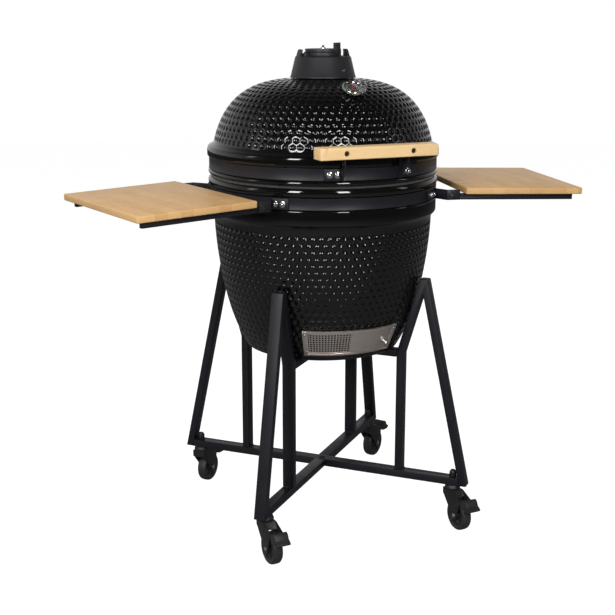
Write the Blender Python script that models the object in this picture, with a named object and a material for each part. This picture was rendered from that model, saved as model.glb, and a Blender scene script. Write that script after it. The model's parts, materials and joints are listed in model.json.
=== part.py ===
"""Kamado ceramic grill: a glazed ceramic egg with a hinged lid, side shelves and a rolling steel stand.

Metres, +Z up. The origin is on the floor under the egg's axis, the front (handle, draft door) faces -Y.
An azimuth is counted from the front towards +X.
"""

from math import atan2, cos, degrees, pi, radians, sin, sqrt

import bmesh
import bpy
from mathutils import Matrix, Vector
from mathutils.geometry import intersect_line_line_2d

GAP = 0.0003  # between pieces that touch

# Ceramic egg: base bowl and domed lid, both turned shapes
SEGMENTS = 36
SEAT_RADIUS = 0.2677  # where the steel bands sit
RIDGE_RADIUS = 0.2715  # rounded lips either side of the seam
WALL = 0.022
RIM_INNER_RADIUS = 0.2445
RIM_OUTER_RADIUS = 0.2655
SEAM_Z = 0.8455  # plane between the two gaskets
GASKET_THICKNESS = 0.0025
BOWL_RADIUS = 0.259
BOWL_TOP_Z = 0.7445
BOWL_DEPTH = 0.3779  # to where the curve would close
BOWL_POWERS = (1.53, 4.0)
BOWL_BOTTOM_Z = 0.430
BOWL_LIP_RADIUS = 0.2695
BOWL_LIP_Z = (0.770, 0.751)  # straight lip, then the foot of its chamfer
DOME_RADIUS = 0.265
DOME_BASE_Z = 0.850
DOME_HEIGHT = 0.2172
DOME_POWERS = (2.165, 3.576)
DOME_START_Z = 0.9205
BULGE_RADIUS = 0.2735
BULGE_Z = 0.9015

# Steel bands
BAND_RADIUS = 0.270
BAND_THICKNESS = 0.002
BASE_BAND_Z = (0.796, 0.822)
LID_BAND_Z = (0.861, 0.888)
FLANGE_THICKNESS = 0.003  # bracket plate lying on a band

# Fire box, ring and grates inside
FIRE_SEGMENTS = 32
FIRE_GAP = 0.006
FIRE_WALL = 0.018
FIRE_BOX_TOP_Z = 0.650
FIRE_FLOOR_Z = (0.515, 0.530)
FIRE_HOLE_RADIUS = 0.095
FIRE_RING_TOP_Z = 0.795
CHARCOAL_GRATE_RADIUS = 0.112
CHARCOAL_GRATE_THICKNESS = 0.008
COOKING_GRATE_RADIUS = 0.225
COOKING_GRATE_THICKNESS = 0.009
GRATE_RIM = 0.010
CHARCOAL_PITCH = 0.020
COOKING_PITCH = 0.028
CHARCOAL_BAR = 0.009
COOKING_BAR = 0.007

# Draft vent low on the front of the bowl
VENT_Z = (0.4495, 0.513)
VENT_ANGLES = (-34.8, 26.3)  # the vent sits a little to the left of the handle
VENT_STANDOFF = 0.0022  # back plate off the ceramic at both edges
VENT_BACK = 0.001
VENT_SHEET = 0.001
VENT_TRACK_GAP = 0.0005
VENT_LIP = 0.006
VENT_END_ANGLE = 3.0
VENT_OPENING_ANGLES = (-28.0, 19.5)
VENT_OPENING_Z = (0.459, 0.487)
SCREEN_ANGLES = (-31.4, -3.4)
DOOR_ANGLES = (-5.1, 22.9)
DOOR_KNOB = (0.0055, 0.012)  # radius, length
DOOR_KNOB_ANGLE = 20.5

# Chimney and top vent
CHIMNEY_BASE_RADIUS = 0.0765
CHIMNEY_TOP_RADIUS = 0.0645
CHIMNEY_Z = (1.0680, 1.1166)
CHIMNEY_WALL = 0.007
CHIMNEY_SPIGOT = 0.018
CHIMNEY_HOLE_RADIUS = 0.058  # in the dome
CHIMNEY_MOUTH_RADIUS = 0.036
LUG_Z = 1.133
LUG_DEPTH = 0.0095
LUG_WIDTH = 0.020
DAMPER_RADIUS = 0.042
SWING_PLATE_THICKNESS = 0.0075
DAISY_THICKNESS = 0.0085
DAISY_HOLES = 5
DAISY_HOLE_RADIUS = 0.0075
DAISY_HOLE_CIRCLE = 0.024
SWING_PIVOT_X = -0.0455
SWING_PIVOT_RADIUS = 0.0030
SWING_EAR_RADIUS = 0.0065
TAB_AZIMUTH = 29.0
TAB_WIDTH = 0.016
TAB_TOP_Z = 1.148
CENTRE_BOLT_RADIUS = 0.003
CENTRE_NUT_RADIUS = 0.0065
CENTRE_BOLT_TOP_Z = 1.1415

# Thermometer on the front of the dome
THERMO_RADIUS_FROM_AXIS = 0.170
THERMO_RADIUS = 0.027
THERMO_DEPTH = 0.008
THERMO_STANDOFF = 0.0035
THERMO_STEM_RADIUS = 0.004
THERMO_STEM_LENGTH = 0.065
THERMO_HOLE_RADIUS = 0.0055
THERMO_BORE_RADIUS = 0.0242
NEEDLE_LENGTH = 0.019

# Lid handle
HANDLE_HALF_LENGTH = 0.1395
HANDLE_Y = (-0.315, -0.275)
HANDLE_Z = (0.913, 0.939)
HANDLE_SCREW_X = 0.079
HANDLE_SCREW_RADIUS = 0.003
HANDLE_SCREW_HEAD = 0.0055
HANDLE_FIN_AZIMUTH = 14.0
HANDLE_FLANGE_AZIMUTH = 22.5
HANDLE_FIN_RADIUS = 0.3095
HANDLE_PLATE = 0.003

# Rear hinge
HINGE_Y = 0.3220
HINGE_Z = 0.8450
HINGE_PIN_RADIUS = 0.005
HINGE_PIN_HALF_LENGTH = 0.066
HINGE_EYE_RADIUS = 0.0150
HINGE_EAR = 0.004
HINGE_LID_EAR_X = 0.047
HINGE_BASE_EAR_X = 0.055
HINGE_FLANGE_ANGLE = 14.0
SPRING_WIRE = 0.0022  # wire radius
SPRING_COIL = HINGE_PIN_RADIUS + SPRING_WIRE + GAP
SPRING_TURNS = 4
SPRING_X = (0.010, 0.040)

# Side shelves, swept forward in plan and a little down at the outer edge
SHELF_SWEEP = 11.3
SHELF_DROOP = 1.5
SHELF_INNER = 0.2966
SHELF_OUTER = 0.5793
SHELF_HALF_DEPTH = 0.1875
SHELF_THICKNESS = 0.015
SHELF_TOP_Z = 0.8267
ARM_HEIGHT = 0.014
ARM_WIDTH = 0.0115
ARM_OUTBOARD = 0.1715  # outer face of an arm, from the shelf's centre line
ARM_ENDS = (0.262, 0.562)
SHELF_PIVOT_U = 0.270
SHELF_PIN_RADIUS = 0.003
PIN_CLEARANCE = 0.0004
BRACKET_PLATE = 0.003
BRACKET_Z = (0.797, 0.821)
BRACKET_FLANGE_ANGLES = (30.2, 39.7)  # from the shelf's own direction
BRACKET_END = 0.286

# Stand
TUBE_WIDTH = 0.028
TUBE_THICKNESS = 0.018
LEG_BOTTOM = (0.379, 0.106)  # outer corner: radius, height
LEG_TOP = (0.270, 0.608)
INNER_LEG_RADIUS = 0.206
INNER_LEG_BEND_Z = 0.424
INNER_LEG_TOP_RADIUS = 0.2505  # inner face at the top cut
CRADLE_BAR = 0.0175

# Casters
STEM_RADIUS_FROM_AXIS = 0.342
WHEEL_RADIUS = 0.0375
WHEEL_WIDTH = 0.024
CASTER_TRAIL = 0.031
STEM_RADIUS = 0.006
CAP_NUT_RADIUS = 0.0085
CAP_NUT_HEIGHT = 0.019
RACE_RADIUS = 0.019
FORK_INNER = 0.0135  # half gap between the cheeks
FORK_CHEEK = 0.0028
AXLE_RADIUS = 0.004
WHEEL_BORE_CLEARANCE = 0.0004
PEDAL_PIVOT = (0.052, 0.076)  # trail, height
PEDAL_HALF_WIDTH = 0.0165
PEDAL_PIN_RADIUS = 0.003
CASTERS = {  # leg azimuth, heading of the trailing side as an azimuth
    "front_left": (-45.0, 5.0),
    "front_right": (45.0, 5.0),
    "rear_left": (-135.0, 132.0),
    "rear_right": (135.0, 126.0),
}


# ---------------------------------------------------------------- helpers


def clear_scene():
    for old in list(bpy.data.objects):
        bpy.data.objects.remove(old, do_unlink=True)


def finish(name, colour, roughness, metallic=0.0):
    made = bpy.data.materials.new(name)
    made.use_nodes = True
    shader = made.node_tree.nodes["Principled BSDF"]
    shader.inputs["Base Color"].default_value = (*colour, 1.0)
    shader.inputs["Roughness"].default_value = roughness
    shader.inputs["Metallic"].default_value = metallic
    return made


def radial_frame(azimuth, z=0.0):
    """Local x outwards at the azimuth, y along the tangent, z up."""
    a = radians(azimuth)
    return Matrix(
        ((sin(a), cos(a), 0, 0), (-cos(a), sin(a), 0, 0), (0, 0, 1, z), (0, 0, 0, 1))
    )


def shelf_frame():
    """Right shelf: local x outwards, y towards the rear, z up."""
    return radial_frame(90.0 - SHELF_SWEEP)


def box(low, high):
    bm = bmesh.new()
    bmesh.ops.create_cube(bm, size=1.0)
    low, high = Vector(low), Vector(high)
    for vert in bm.verts:
        vert.co = Vector(
            (low[i] + high[i]) / 2 + vert.co[i] * (high[i] - low[i]) for i in range(3)
        )
    return bm


def prism(points, faces, low, high):
    """Flat shape in local x, z, extruded along local y from low to high."""
    bm = bmesh.new()
    verts = [bm.verts.new((x, low, z)) for x, z in points]
    for face in faces:
        bm.faces.new([verts[i] for i in face])
    grown = bmesh.ops.extrude_face_region(bm, geom=list(bm.faces))
    moved = [e for e in grown["geom"] if isinstance(e, bmesh.types.BMVert)]
    bmesh.ops.translate(bm, verts=moved, vec=(0, high - low, 0))
    bmesh.ops.recalc_face_normals(bm, faces=list(bm.faces))
    return bm


def outline_prism(points, low, high):
    return prism(points, [range(len(points))], low, high)


def upright_prism(points, faces, low, high):
    """Flat shape in x, y, extruded up from low to high."""
    bm = bmesh.new()
    verts = [bm.verts.new((x, y, low)) for x, y in points]
    for face in faces:
        bm.faces.new([verts[i] for i in face])
    grown = bmesh.ops.extrude_face_region(bm, geom=list(bm.faces))
    lifted = [e for e in grown["geom"] if isinstance(e, bmesh.types.BMVert)]
    bmesh.ops.translate(bm, verts=lifted, vec=(0, 0, high - low))
    bmesh.ops.recalc_face_normals(bm, faces=list(bm.faces))
    return bm


def turned(profile, segments=SEGMENTS, closed=True, angles=None):
    """Turns (radius, height) points about Z: a full ring, or between two azimuths."""
    bm = bmesh.new()
    verts = [bm.verts.new((0.0, -r, z)) for r, z in profile]
    pairs = list(zip(verts, verts[1:]))
    if closed:
        pairs.append((verts[-1], verts[0]))
    edges = [bm.edges.new(pair) for pair in pairs]
    if angles is None:
        bmesh.ops.spin(
            bm, geom=verts + edges, axis=(0, 0, 1), steps=segments, angle=2 * pi, use_merge=True
        )
    else:
        first, last = (radians(a) for a in angles)
        face = bm.faces.new(verts)
        bmesh.ops.rotate(bm, verts=verts, matrix=Matrix.Rotation(first, 3, "Z"))
        bmesh.ops.spin(
            bm, geom=[face], axis=(0, 0, 1), steps=segments, angle=last - first
        )
    bmesh.ops.remove_doubles(bm, verts=list(bm.verts), dist=1e-6)
    bmesh.ops.recalc_face_normals(bm, faces=list(bm.faces))
    return bm


def cylinder(radius, start, end, segments=16):
    """A round bar between two points."""
    bm = bmesh.new()
    start, end = Vector(start), Vector(end)
    along = end - start
    turn = Vector((0, 0, 1)).rotation_difference(along).to_matrix().to_4x4()
    place = Matrix.Translation((start + end) / 2) @ turn
    bmesh.ops.create_cone(
        bm,
        cap_ends=True,
        segments=segments,
        radius1=radius,
        radius2=radius,
        depth=along.length,
        matrix=place,
    )
    return bm


def mirrored(bm, plane=(-1, 1, 1, 1)):
    copy = bm.copy()
    bmesh.ops.transform(copy, matrix=Matrix.Diagonal(plane), verts=list(copy.verts))
    bmesh.ops.reverse_faces(copy, faces=list(copy.faces))
    return copy


def moved(bm, matrix):
    bmesh.ops.transform(bm, matrix=matrix, verts=list(bm.verts))
    return bm


def joined(*parts):
    """Several closed shapes in one mesh, for a cutter."""
    whole = bmesh.new()
    for part in parts:
        mesh = bpy.data.meshes.new("part")
        part.to_mesh(mesh)
        whole.from_mesh(mesh)
        bpy.data.meshes.remove(mesh)
    return whole


def pivot(name, location):
    """An empty on a joint's axis, which the moving pieces are parented to."""
    empty = bpy.data.objects.new(name, None)
    empty.location = location
    bpy.context.scene.collection.objects.link(empty)
    return empty


def add(name, bm, surface, parent=None, cuts=(), unions=()):
    """Makes the named sub-part, with its cutters and welded pieces left as Boolean modifiers."""
    mesh = bpy.data.meshes.new(name)
    if parent is not None:
        moved(bm, Matrix.Translation(-parent.location))
    bm.to_mesh(mesh)
    mesh.materials.append(surface)
    mesh.shade_smooth()
    mesh.set_sharp_from_angle(angle=radians(32))
    made = bpy.data.objects.new(name, mesh)
    made.parent = parent
    bpy.context.scene.collection.objects.link(made)
    steps = [("UNION", piece) for piece in unions] + [("DIFFERENCE", piece) for piece in cuts]
    for count, (operation, piece) in enumerate(steps):
        tool_mesh = bpy.data.meshes.new(f"{name}_tool_{count}")
        if parent is not None:
            moved(piece, Matrix.Translation(-parent.location))
        piece.to_mesh(tool_mesh)
        tool = bpy.data.objects.new(f"{name}_tool_{count}", tool_mesh)
        tool.parent = parent
        tool.hide_render = True
        tool.display_type = "WIRE"
        bpy.context.scene.collection.objects.link(tool)
        modifier = made.modifiers.new(f"{operation.lower()}_{count}", "BOOLEAN")
        modifier.operation = operation
        modifier.solver = "EXACT"
        modifier.object = tool
    return made


# ---------------------------------------------------------------- shapes of the egg


def bowl_radius(z):
    t = max((BOWL_TOP_Z - z) / BOWL_DEPTH, 0.0)
    return BOWL_RADIUS * (1 - t ** BOWL_POWERS[0]) ** (1 / BOWL_POWERS[1])


def dome_radius(z, inset=0.0):
    t = max((z - DOME_BASE_Z) / (DOME_HEIGHT - inset), 0.0)
    return (DOME_RADIUS - inset) * (1 - t ** DOME_POWERS[0]) ** (1 / DOME_POWERS[1])


def dome_height(r, inset=0.0):
    t = (1 - (r / (DOME_RADIUS - inset)) ** DOME_POWERS[1]) ** (1 / DOME_POWERS[0])
    return DOME_BASE_Z + (DOME_HEIGHT - inset) * t


def spread(low, high, count):
    return [low + (high - low) * i / (count - 1) for i in range(count)]


def ridge(low, high, seat, peak, count=6):
    """A rounded lip between two heights, from the lower to the upper."""
    return [
        (seat + (peak - seat) * sqrt(max(1 - (2 * s - 1) ** 2, 0)), low + (high - low) * s)
        for s in (0.5 - 0.5 * cos(pi * t) for t in spread(0.0, 1.0, count))
    ]


def bowl_profile():
    rim_z = SEAM_Z - GAP / 2 - GASKET_THICKNESS - GAP
    outer = [(0.0, BOWL_BOTTOM_Z)]
    outer += [(bowl_radius(z), z) for z in spread(BOWL_BOTTOM_Z, BOWL_TOP_Z, 9)]
    outer += [(BOWL_RADIUS, BOWL_LIP_Z[1]), (BOWL_LIP_RADIUS, BOWL_LIP_Z[0])]
    outer += [(BOWL_LIP_RADIUS, BASE_BAND_Z[0] - GAP)]
    outer += [(SEAT_RADIUS, BASE_BAND_Z[0] - GAP)]
    outer += ridge(BASE_BAND_Z[1] + GAP, rim_z, SEAT_RADIUS - 0.001, RIDGE_RADIUS)
    floor_z = BOWL_BOTTOM_Z + WALL
    inner = [(RIM_INNER_RADIUS, rim_z)]
    inner += [(bowl_radius(z) - WALL, z) for z in spread(BOWL_TOP_Z, floor_z + 0.012, 6)]
    inner += [(bowl_radius(floor_z) - 2 * WALL, floor_z), (0.0, floor_z)]
    return outer + inner


def lid_profile():
    rim_z = SEAM_Z + GAP / 2 + GASKET_THICKNESS + GAP
    outer = [(CHIMNEY_HOLE_RADIUS + 0.0005, dome_height(CHIMNEY_HOLE_RADIUS))]
    outer += [(r, dome_height(r)) for r in spread(0.100, 0.185, 3)]
    outer += [(dome_radius(z), z) for z in spread(1.015, DOME_START_Z, 5)]
    outer += [(BULGE_RADIUS - 0.005, BULGE_Z + 0.0125), (BULGE_RADIUS - 0.0012, BULGE_Z + 0.006)]
    outer += [(BULGE_RADIUS, BULGE_Z), (BULGE_RADIUS - 0.0012, BULGE_Z - 0.007)]
    outer += [(SEAT_RADIUS, LID_BAND_Z[1] + GAP)]
    outer += ridge(rim_z, LID_BAND_Z[0] - GAP, SEAT_RADIUS - 0.001, RIDGE_RADIUS)[::-1]
    inner = [(RIM_INNER_RADIUS, rim_z)]
    inner += [(dome_radius(z, WALL) , z) for z in spread(0.885, 0.985, 4)]
    inner += [(r, dome_height(r, WALL)) for r in spread(0.185, CHIMNEY_HOLE_RADIUS + 0.0005, 3)]
    return outer + inner


def band(z_range):
    inner = BAND_RADIUS - BAND_THICKNESS
    low, high = z_range
    return turned([(inner, low), (BAND_RADIUS, low), (BAND_RADIUS, high), (inner, high)])


def gasket(low):
    high = low + GASKET_THICKNESS
    inner, outer = RIM_INNER_RADIUS + 0.003, RIM_OUTER_RADIUS
    return turned([(inner, low), (outer, low), (outer, high), (inner, high)])


def draft_cutter():
    """The air opening through the bowl and the fire box, as a wedge about the axis."""
    low, high = VENT_OPENING_Z
    profile = [(0.08, low), (0.26, low), (0.26, high), (0.08, high)]
    return turned(profile, 8, angles=VENT_OPENING_ANGLES)


def egg(ceramic, steel, felt):
    add("base_bowl", turned(bowl_profile(), closed=False), ceramic, cuts=[draft_cutter()])
    add("base_band", band(BASE_BAND_Z), steel)
    add("base_gasket", gasket(SEAM_Z - GAP / 2 - GASKET_THICKNESS), felt)


def lid(parent, ceramic, steel, felt):
    centre, normal = thermometer_place()
    hole = cylinder(THERMO_HOLE_RADIUS, centre - normal * 0.05, centre + normal * 0.05, 12)
    add("dome_lid", turned(lid_profile()), ceramic, parent, cuts=[hole])
    add("lid_band", band(LID_BAND_Z), steel, parent)
    add("lid_gasket", gasket(SEAM_Z + GAP / 2), felt, parent)


# ---------------------------------------------------------------- inside the bowl


def fire_outer(z):
    return bowl_radius(z) - WALL - FIRE_GAP


def slots(radius, pitch, bar, rim, low, high):
    """Cutter for the openings between a grate's parallel bars."""
    reach = radius - rim
    count = int((reach - pitch / 2) / pitch)
    parts = []
    for i in range(-count, count + 1):
        x0, x1 = i * pitch - (pitch - bar) / 2, i * pitch + (pitch - bar) / 2
        half = sqrt(reach**2 - max(abs(x0), abs(x1)) ** 2)
        for y0, y1 in ((-half, -bar / 2), (bar / 2, half)):
            parts.append(box((x0, y0, low - 0.01), (x1, y1, high + 0.01)))
    return joined(*parts)


def grate(radius, thickness, pitch, bar, low):
    disc = cylinder(radius, (0, 0, low), (0, 0, low + thickness), FIRE_SEGMENTS)
    return disc, slots(radius, pitch, bar, GRATE_RIM, low, low + thickness)


def insides(ceramic, iron, wire):
    base_z = BOWL_BOTTOM_Z + WALL + 0.0005
    hole_low, hole_top = FIRE_FLOOR_Z
    outer = [(fire_outer(base_z) - 0.03, base_z)]
    outer += [(fire_outer(z), z) for z in spread(0.470, FIRE_BOX_TOP_Z, 6)]
    inner = [(fire_outer(z) - FIRE_WALL, z) for z in spread(FIRE_BOX_TOP_Z, hole_top, 4)]
    inner += [(FIRE_HOLE_RADIUS, hole_top), (FIRE_HOLE_RADIUS, hole_low)]
    inner += [(fire_outer(hole_low) - FIRE_WALL, hole_low), (0.122, base_z)]
    box_shape = turned(outer + inner, FIRE_SEGMENTS)
    add("fire_box", box_shape, ceramic, cuts=[draft_cutter()])
    ring_out = fire_outer(FIRE_BOX_TOP_Z)
    ring_in = ring_out - FIRE_WALL
    low, high = FIRE_BOX_TOP_Z + GAP, FIRE_RING_TOP_Z
    ring = [(ring_in, low), (ring_out, low), (ring_out, high), (ring_in, high)]
    add("fire_ring", turned(ring, FIRE_SEGMENTS), ceramic)
    disc, cutter = grate(
        CHARCOAL_GRATE_RADIUS, CHARCOAL_GRATE_THICKNESS, CHARCOAL_PITCH, CHARCOAL_BAR, hole_top + GAP
    )
    add("charcoal_grate", disc, iron, cuts=[cutter])
    disc, cutter = grate(
        COOKING_GRATE_RADIUS, COOKING_GRATE_THICKNESS, COOKING_PITCH, COOKING_BAR, high + GAP
    )
    add("cooking_grate", disc, wire, cuts=[cutter])


# ---------------------------------------------------------------- draft vent


def vent_section(across, along):
    """A point on the conical vent: outwards from its back face, and up its slope from the lower edge."""
    low, high = VENT_Z
    start = Vector((bowl_radius(low) + VENT_STANDOFF, low))
    end = Vector((bowl_radius(high) + VENT_STANDOFF, high))
    up = (end - start).normalized()
    out = Vector((up.y, -up.x))
    at = start + up * along + out * across
    return at.x, at.y


def vent_slope_length():
    low, high = VENT_Z
    return sqrt((bowl_radius(high) - bowl_radius(low)) ** 2 + (high - low) ** 2)


def vent_strip(across, along, angles, steps):
    """A curved strip of the vent, given its thickness and height ranges."""
    corners = [
        (across[0], along[0]),
        (across[1], along[0]),
        (across[1], along[1]),
        (across[0], along[1]),
    ]
    return turned([vent_section(*corner) for corner in corners], steps, angles=angles)


def vent_knob(angle, face, radius, length, height):
    r0, z0 = vent_section(face - 0.0005, height)
    r1, z1 = vent_section(face + length, height)
    knob = cylinder(radius, (r0, 0, z0), (r1, 0, z1), 12)
    return moved(knob, radial_frame(angle))


def draft_vent(stainless, slide):
    full = vent_slope_length()
    inner = VENT_BACK + VENT_TRACK_GAP
    screen = (inner, inner + VENT_SHEET)
    door = (screen[1] + VENT_TRACK_GAP, screen[1] + VENT_TRACK_GAP + VENT_SHEET)
    lip_in = door[1] + VENT_TRACK_GAP
    lip_out = lip_in + VENT_BACK
    web = 0.0012
    channel = [
        (0, 0), (lip_out, 0), (lip_out, VENT_LIP), (lip_in, VENT_LIP), (lip_in, web),
        (VENT_BACK, web), (VENT_BACK, full - web), (lip_in, full - web),
        (lip_in, full - VENT_LIP), (lip_out, full - VENT_LIP), (lip_out, full), (0, full),
    ]
    profile = [vent_section(*corner) for corner in channel]
    first, last = VENT_ANGLES
    frame = turned(profile, 20, angles=VENT_ANGLES)
    cap_face = lip_out + 0.0004
    caps = [
        vent_strip((0.0002, cap_face), (-0.0004, full + 0.0004), angles, 2)
        for angles in ((first - 0.3, first + VENT_END_ANGLE), (last - VENT_END_ANGLE, last + 0.3))
    ]
    window = vent_strip(
        (-0.004, VENT_BACK + 0.0004),
        (VENT_LIP + 0.006, full - VENT_LIP - 0.006),
        VENT_OPENING_ANGLES,
        12,
    )
    add("vent_frame", frame, stainless, unions=caps, cuts=[window])
    track = (web + GAP, full - web - GAP)
    radius, length = DOOR_KNOB
    door_knob = vent_knob(DOOR_KNOB_ANGLE, door[1], radius, length, full * 0.35)
    add("vent_screen", vent_strip(screen, track, SCREEN_ANGLES, 10), stainless, slide)
    add("vent_door", vent_strip(door, track, DOOR_ANGLES, 10), stainless, slide, unions=[door_knob])


# ---------------------------------------------------------------- chimney and top vent


def chimney_top(parent, swing, wheel, iron, steel):
    low, high = CHIMNEY_Z
    wall = CHIMNEY_WALL
    spigot = CHIMNEY_HOLE_RADIUS - 0.0015
    profile = [
        (spigot - wall, low - CHIMNEY_SPIGOT), (spigot, low - CHIMNEY_SPIGOT), (spigot, low),
        (CHIMNEY_BASE_RADIUS, low), (CHIMNEY_BASE_RADIUS, low + 0.005),
        (CHIMNEY_BASE_RADIUS - 0.0008, low + 0.0058), (CHIMNEY_TOP_RADIUS + 0.001, high - 0.003),
        (CHIMNEY_TOP_RADIUS, high), (CHIMNEY_MOUTH_RADIUS, high),
        (CHIMNEY_MOUTH_RADIUS, high - wall * 0.8), (spigot - wall, high - wall * 2.2),
    ]
    slope = (CHIMNEY_BASE_RADIUS - CHIMNEY_TOP_RADIUS) / (high - low)
    top_out = CHIMNEY_TOP_RADIUS - slope * (LUG_Z - high)
    lug = [
        (CHIMNEY_TOP_RADIUS - LUG_DEPTH, high - 0.004), (CHIMNEY_TOP_RADIUS + slope * 0.004, high - 0.004),
        (top_out, LUG_Z - 0.003), (top_out - 0.003, LUG_Z), (top_out - 0.0055, LUG_Z),
        (CHIMNEY_TOP_RADIUS - LUG_DEPTH, LUG_Z - 0.005),
    ]
    lugs = [
        moved(outline_prism(lug, -LUG_WIDTH / 2, LUG_WIDTH / 2), radial_frame(side))
        for side in (90.0, -90.0)
    ]
    plate_low = high + GAP
    plate_high = plate_low + SWING_PLATE_THICKNESS
    pin = cylinder(
        SWING_PIVOT_RADIUS, (SWING_PIVOT_X, 0, high - 0.003), (SWING_PIVOT_X, 0, plate_high + 0.002), 12
    )
    add("vent_chimney", turned(profile, 24), iron, parent, unions=lugs + [pin])

    disc = cylinder(DAMPER_RADIUS, (0, 0, plate_low), (0, 0, plate_high), 32)
    ear = cylinder(
        SWING_EAR_RADIUS, (SWING_PIVOT_X, 0, plate_low), (SWING_PIVOT_X, 0, plate_high - 0.001), 16
    )
    web = box(
        (SWING_PIVOT_X, -SWING_EAR_RADIUS * 0.9, plate_low + 0.0002),
        (-DAMPER_RADIUS * 0.8, SWING_EAR_RADIUS * 0.9, plate_high - 0.0013),
    )
    bore = cylinder(
        SWING_PIVOT_RADIUS + PIN_CLEARANCE,
        (SWING_PIVOT_X, 0, plate_low - 0.01),
        (SWING_PIVOT_X, 0, plate_high + 0.01),
        12,
    )
    bolt_bore = cylinder(
        CENTRE_BOLT_RADIUS + PIN_CLEARANCE, (0, 0, plate_low - 0.01), (0, 0, plate_high + 0.01), 12
    )
    air = petal_cutter(plate_low, plate_high, 180.0 / DAISY_HOLES)
    add("vent_swing_plate", disc, iron, swing, unions=[ear, web], cuts=[bore, bolt_bore, air])

    wheel_low, wheel_high = plate_high + GAP, plate_high + GAP + DAISY_THICKNESS
    tab_in, tab_out = DAMPER_RADIUS - 0.006, DAMPER_RADIUS + 0.0028
    tab_half = TAB_WIDTH / 2 - 0.0004
    skirt_low = plate_low + SWING_PLATE_THICKNESS * 0.45
    skirt = moved(
        box((DAMPER_RADIUS + 0.0006, -TAB_WIDTH / 2, skirt_low), (tab_out, TAB_WIDTH / 2, TAB_TOP_Z)),
        radial_frame(TAB_AZIMUTH),
    )
    tab = moved(
        box((tab_in, -TAB_WIDTH / 2, wheel_low + 0.001), (tab_out - 0.0004, tab_half, TAB_TOP_Z - 0.0004)),
        radial_frame(TAB_AZIMUTH),
    )
    disc = cylinder(DAMPER_RADIUS, (0, 0, wheel_low), (0, 0, wheel_high), 32)
    wheel_bore = cylinder(
        CENTRE_BOLT_RADIUS + PIN_CLEARANCE, (0, 0, wheel_low - 0.01), (0, 0, wheel_high + 0.01), 12
    )
    air = petal_cutter(wheel_low, wheel_high, 0.0)
    add("vent_daisy_wheel", disc, iron, wheel, unions=[tab, skirt], cuts=[wheel_bore, air])

    bolt = [
        (0, plate_low + 0.001), (CENTRE_BOLT_RADIUS, plate_low + 0.001),
        (CENTRE_BOLT_RADIUS, wheel_high + GAP), (CENTRE_NUT_RADIUS, wheel_high + GAP),
        (CENTRE_NUT_RADIUS * 0.92, wheel_high + 0.003), (CENTRE_BOLT_RADIUS, wheel_high + 0.0035),
        (CENTRE_BOLT_RADIUS * 0.8, CENTRE_BOLT_TOP_Z), (0, CENTRE_BOLT_TOP_Z),
    ]
    add("vent_centre_bolt", turned(bolt, 12, closed=False), steel, swing)


def petal_cutter(low, high, offset):
    """Round air holes on a circle, turned by an offset in degrees."""
    holes = []
    for i in range(DAISY_HOLES):
        a = radians(TAB_AZIMUTH - 90 + offset + 360.0 * i / DAISY_HOLES)
        at = (DAISY_HOLE_CIRCLE * cos(a), DAISY_HOLE_CIRCLE * sin(a))
        holes.append(cylinder(DAISY_HOLE_RADIUS, (*at, low - 0.01), (*at, high + 0.01), 14))
    return joined(*holes)


# ---------------------------------------------------------------- thermometer


def thermometer_place():
    """Centre of the gauge's back face and the dome's outward direction there."""
    r = THERMO_RADIUS_FROM_AXIS
    slope = (dome_height(r + 0.002) - dome_height(r - 0.002)) / 0.004
    normal = Vector((0, slope, 1)).normalized()
    return Vector((0, -r, dome_height(r))) + normal * THERMO_STANDOFF, normal


def thermometer(parent, needle_pivot, chrome, glass, red):
    centre, normal = thermometer_place()
    place = Matrix.Translation(centre) @ Vector((0, 0, 1)).rotation_difference(normal).to_matrix().to_4x4()
    depth = THERMO_DEPTH
    case = [
        (0, -THERMO_STEM_LENGTH), (THERMO_STEM_RADIUS * 0.6, -THERMO_STEM_LENGTH),
        (THERMO_STEM_RADIUS, 0.003 - THERMO_STEM_LENGTH), (THERMO_STEM_RADIUS, 0.0),
        (THERMO_RADIUS - 0.002, 0.0), (THERMO_RADIUS, 0.002), (THERMO_RADIUS, depth - 0.002),
        (THERMO_RADIUS - 0.0012, depth), (THERMO_BORE_RADIUS, depth),
        (THERMO_BORE_RADIUS, 0.0025), (0, 0.0025),
    ]
    add("thermometer_case", moved(turned(case, 28, closed=False), place), chrome, parent)
    lens = cylinder(THERMO_BORE_RADIUS - GAP, (0, 0, depth - 0.0030), (0, 0, depth - 0.0012), 28)
    add("thermometer_lens", moved(lens, place), glass, parent)
    low, high = 0.0034, 0.0042
    tail, tip = 0.0065, NEEDLE_LENGTH
    outline = [
        (-0.0016, -tail), (0.0016, -tail), (0.0022, 0), (0.0004, tip), (-0.0004, tip), (-0.0022, 0)
    ]
    needle = upright_prism(outline, [range(len(outline))], low, high)
    hub = cylinder(0.0028, (0, 0, low - 0.0006), (0, 0, high + 0.0004), 10)
    cold = Matrix.Rotation(radians(135), 4, "Z")
    add(
        "thermometer_needle", moved(needle, place @ cold), red, needle_pivot,
        unions=[moved(hub, place)],
    )


# ---------------------------------------------------------------- handle


def flange(angles, z_range, radius=BAND_RADIUS + GAP, thickness=FLANGE_THICKNESS):
    low, high = z_range
    profile = [(radius, low), (radius + thickness, low), (radius + thickness, high), (radius, high)]
    steps = max(2, round(abs(angles[1] - angles[0]) / 2.4))
    return turned(profile, steps, angles=angles)


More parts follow.
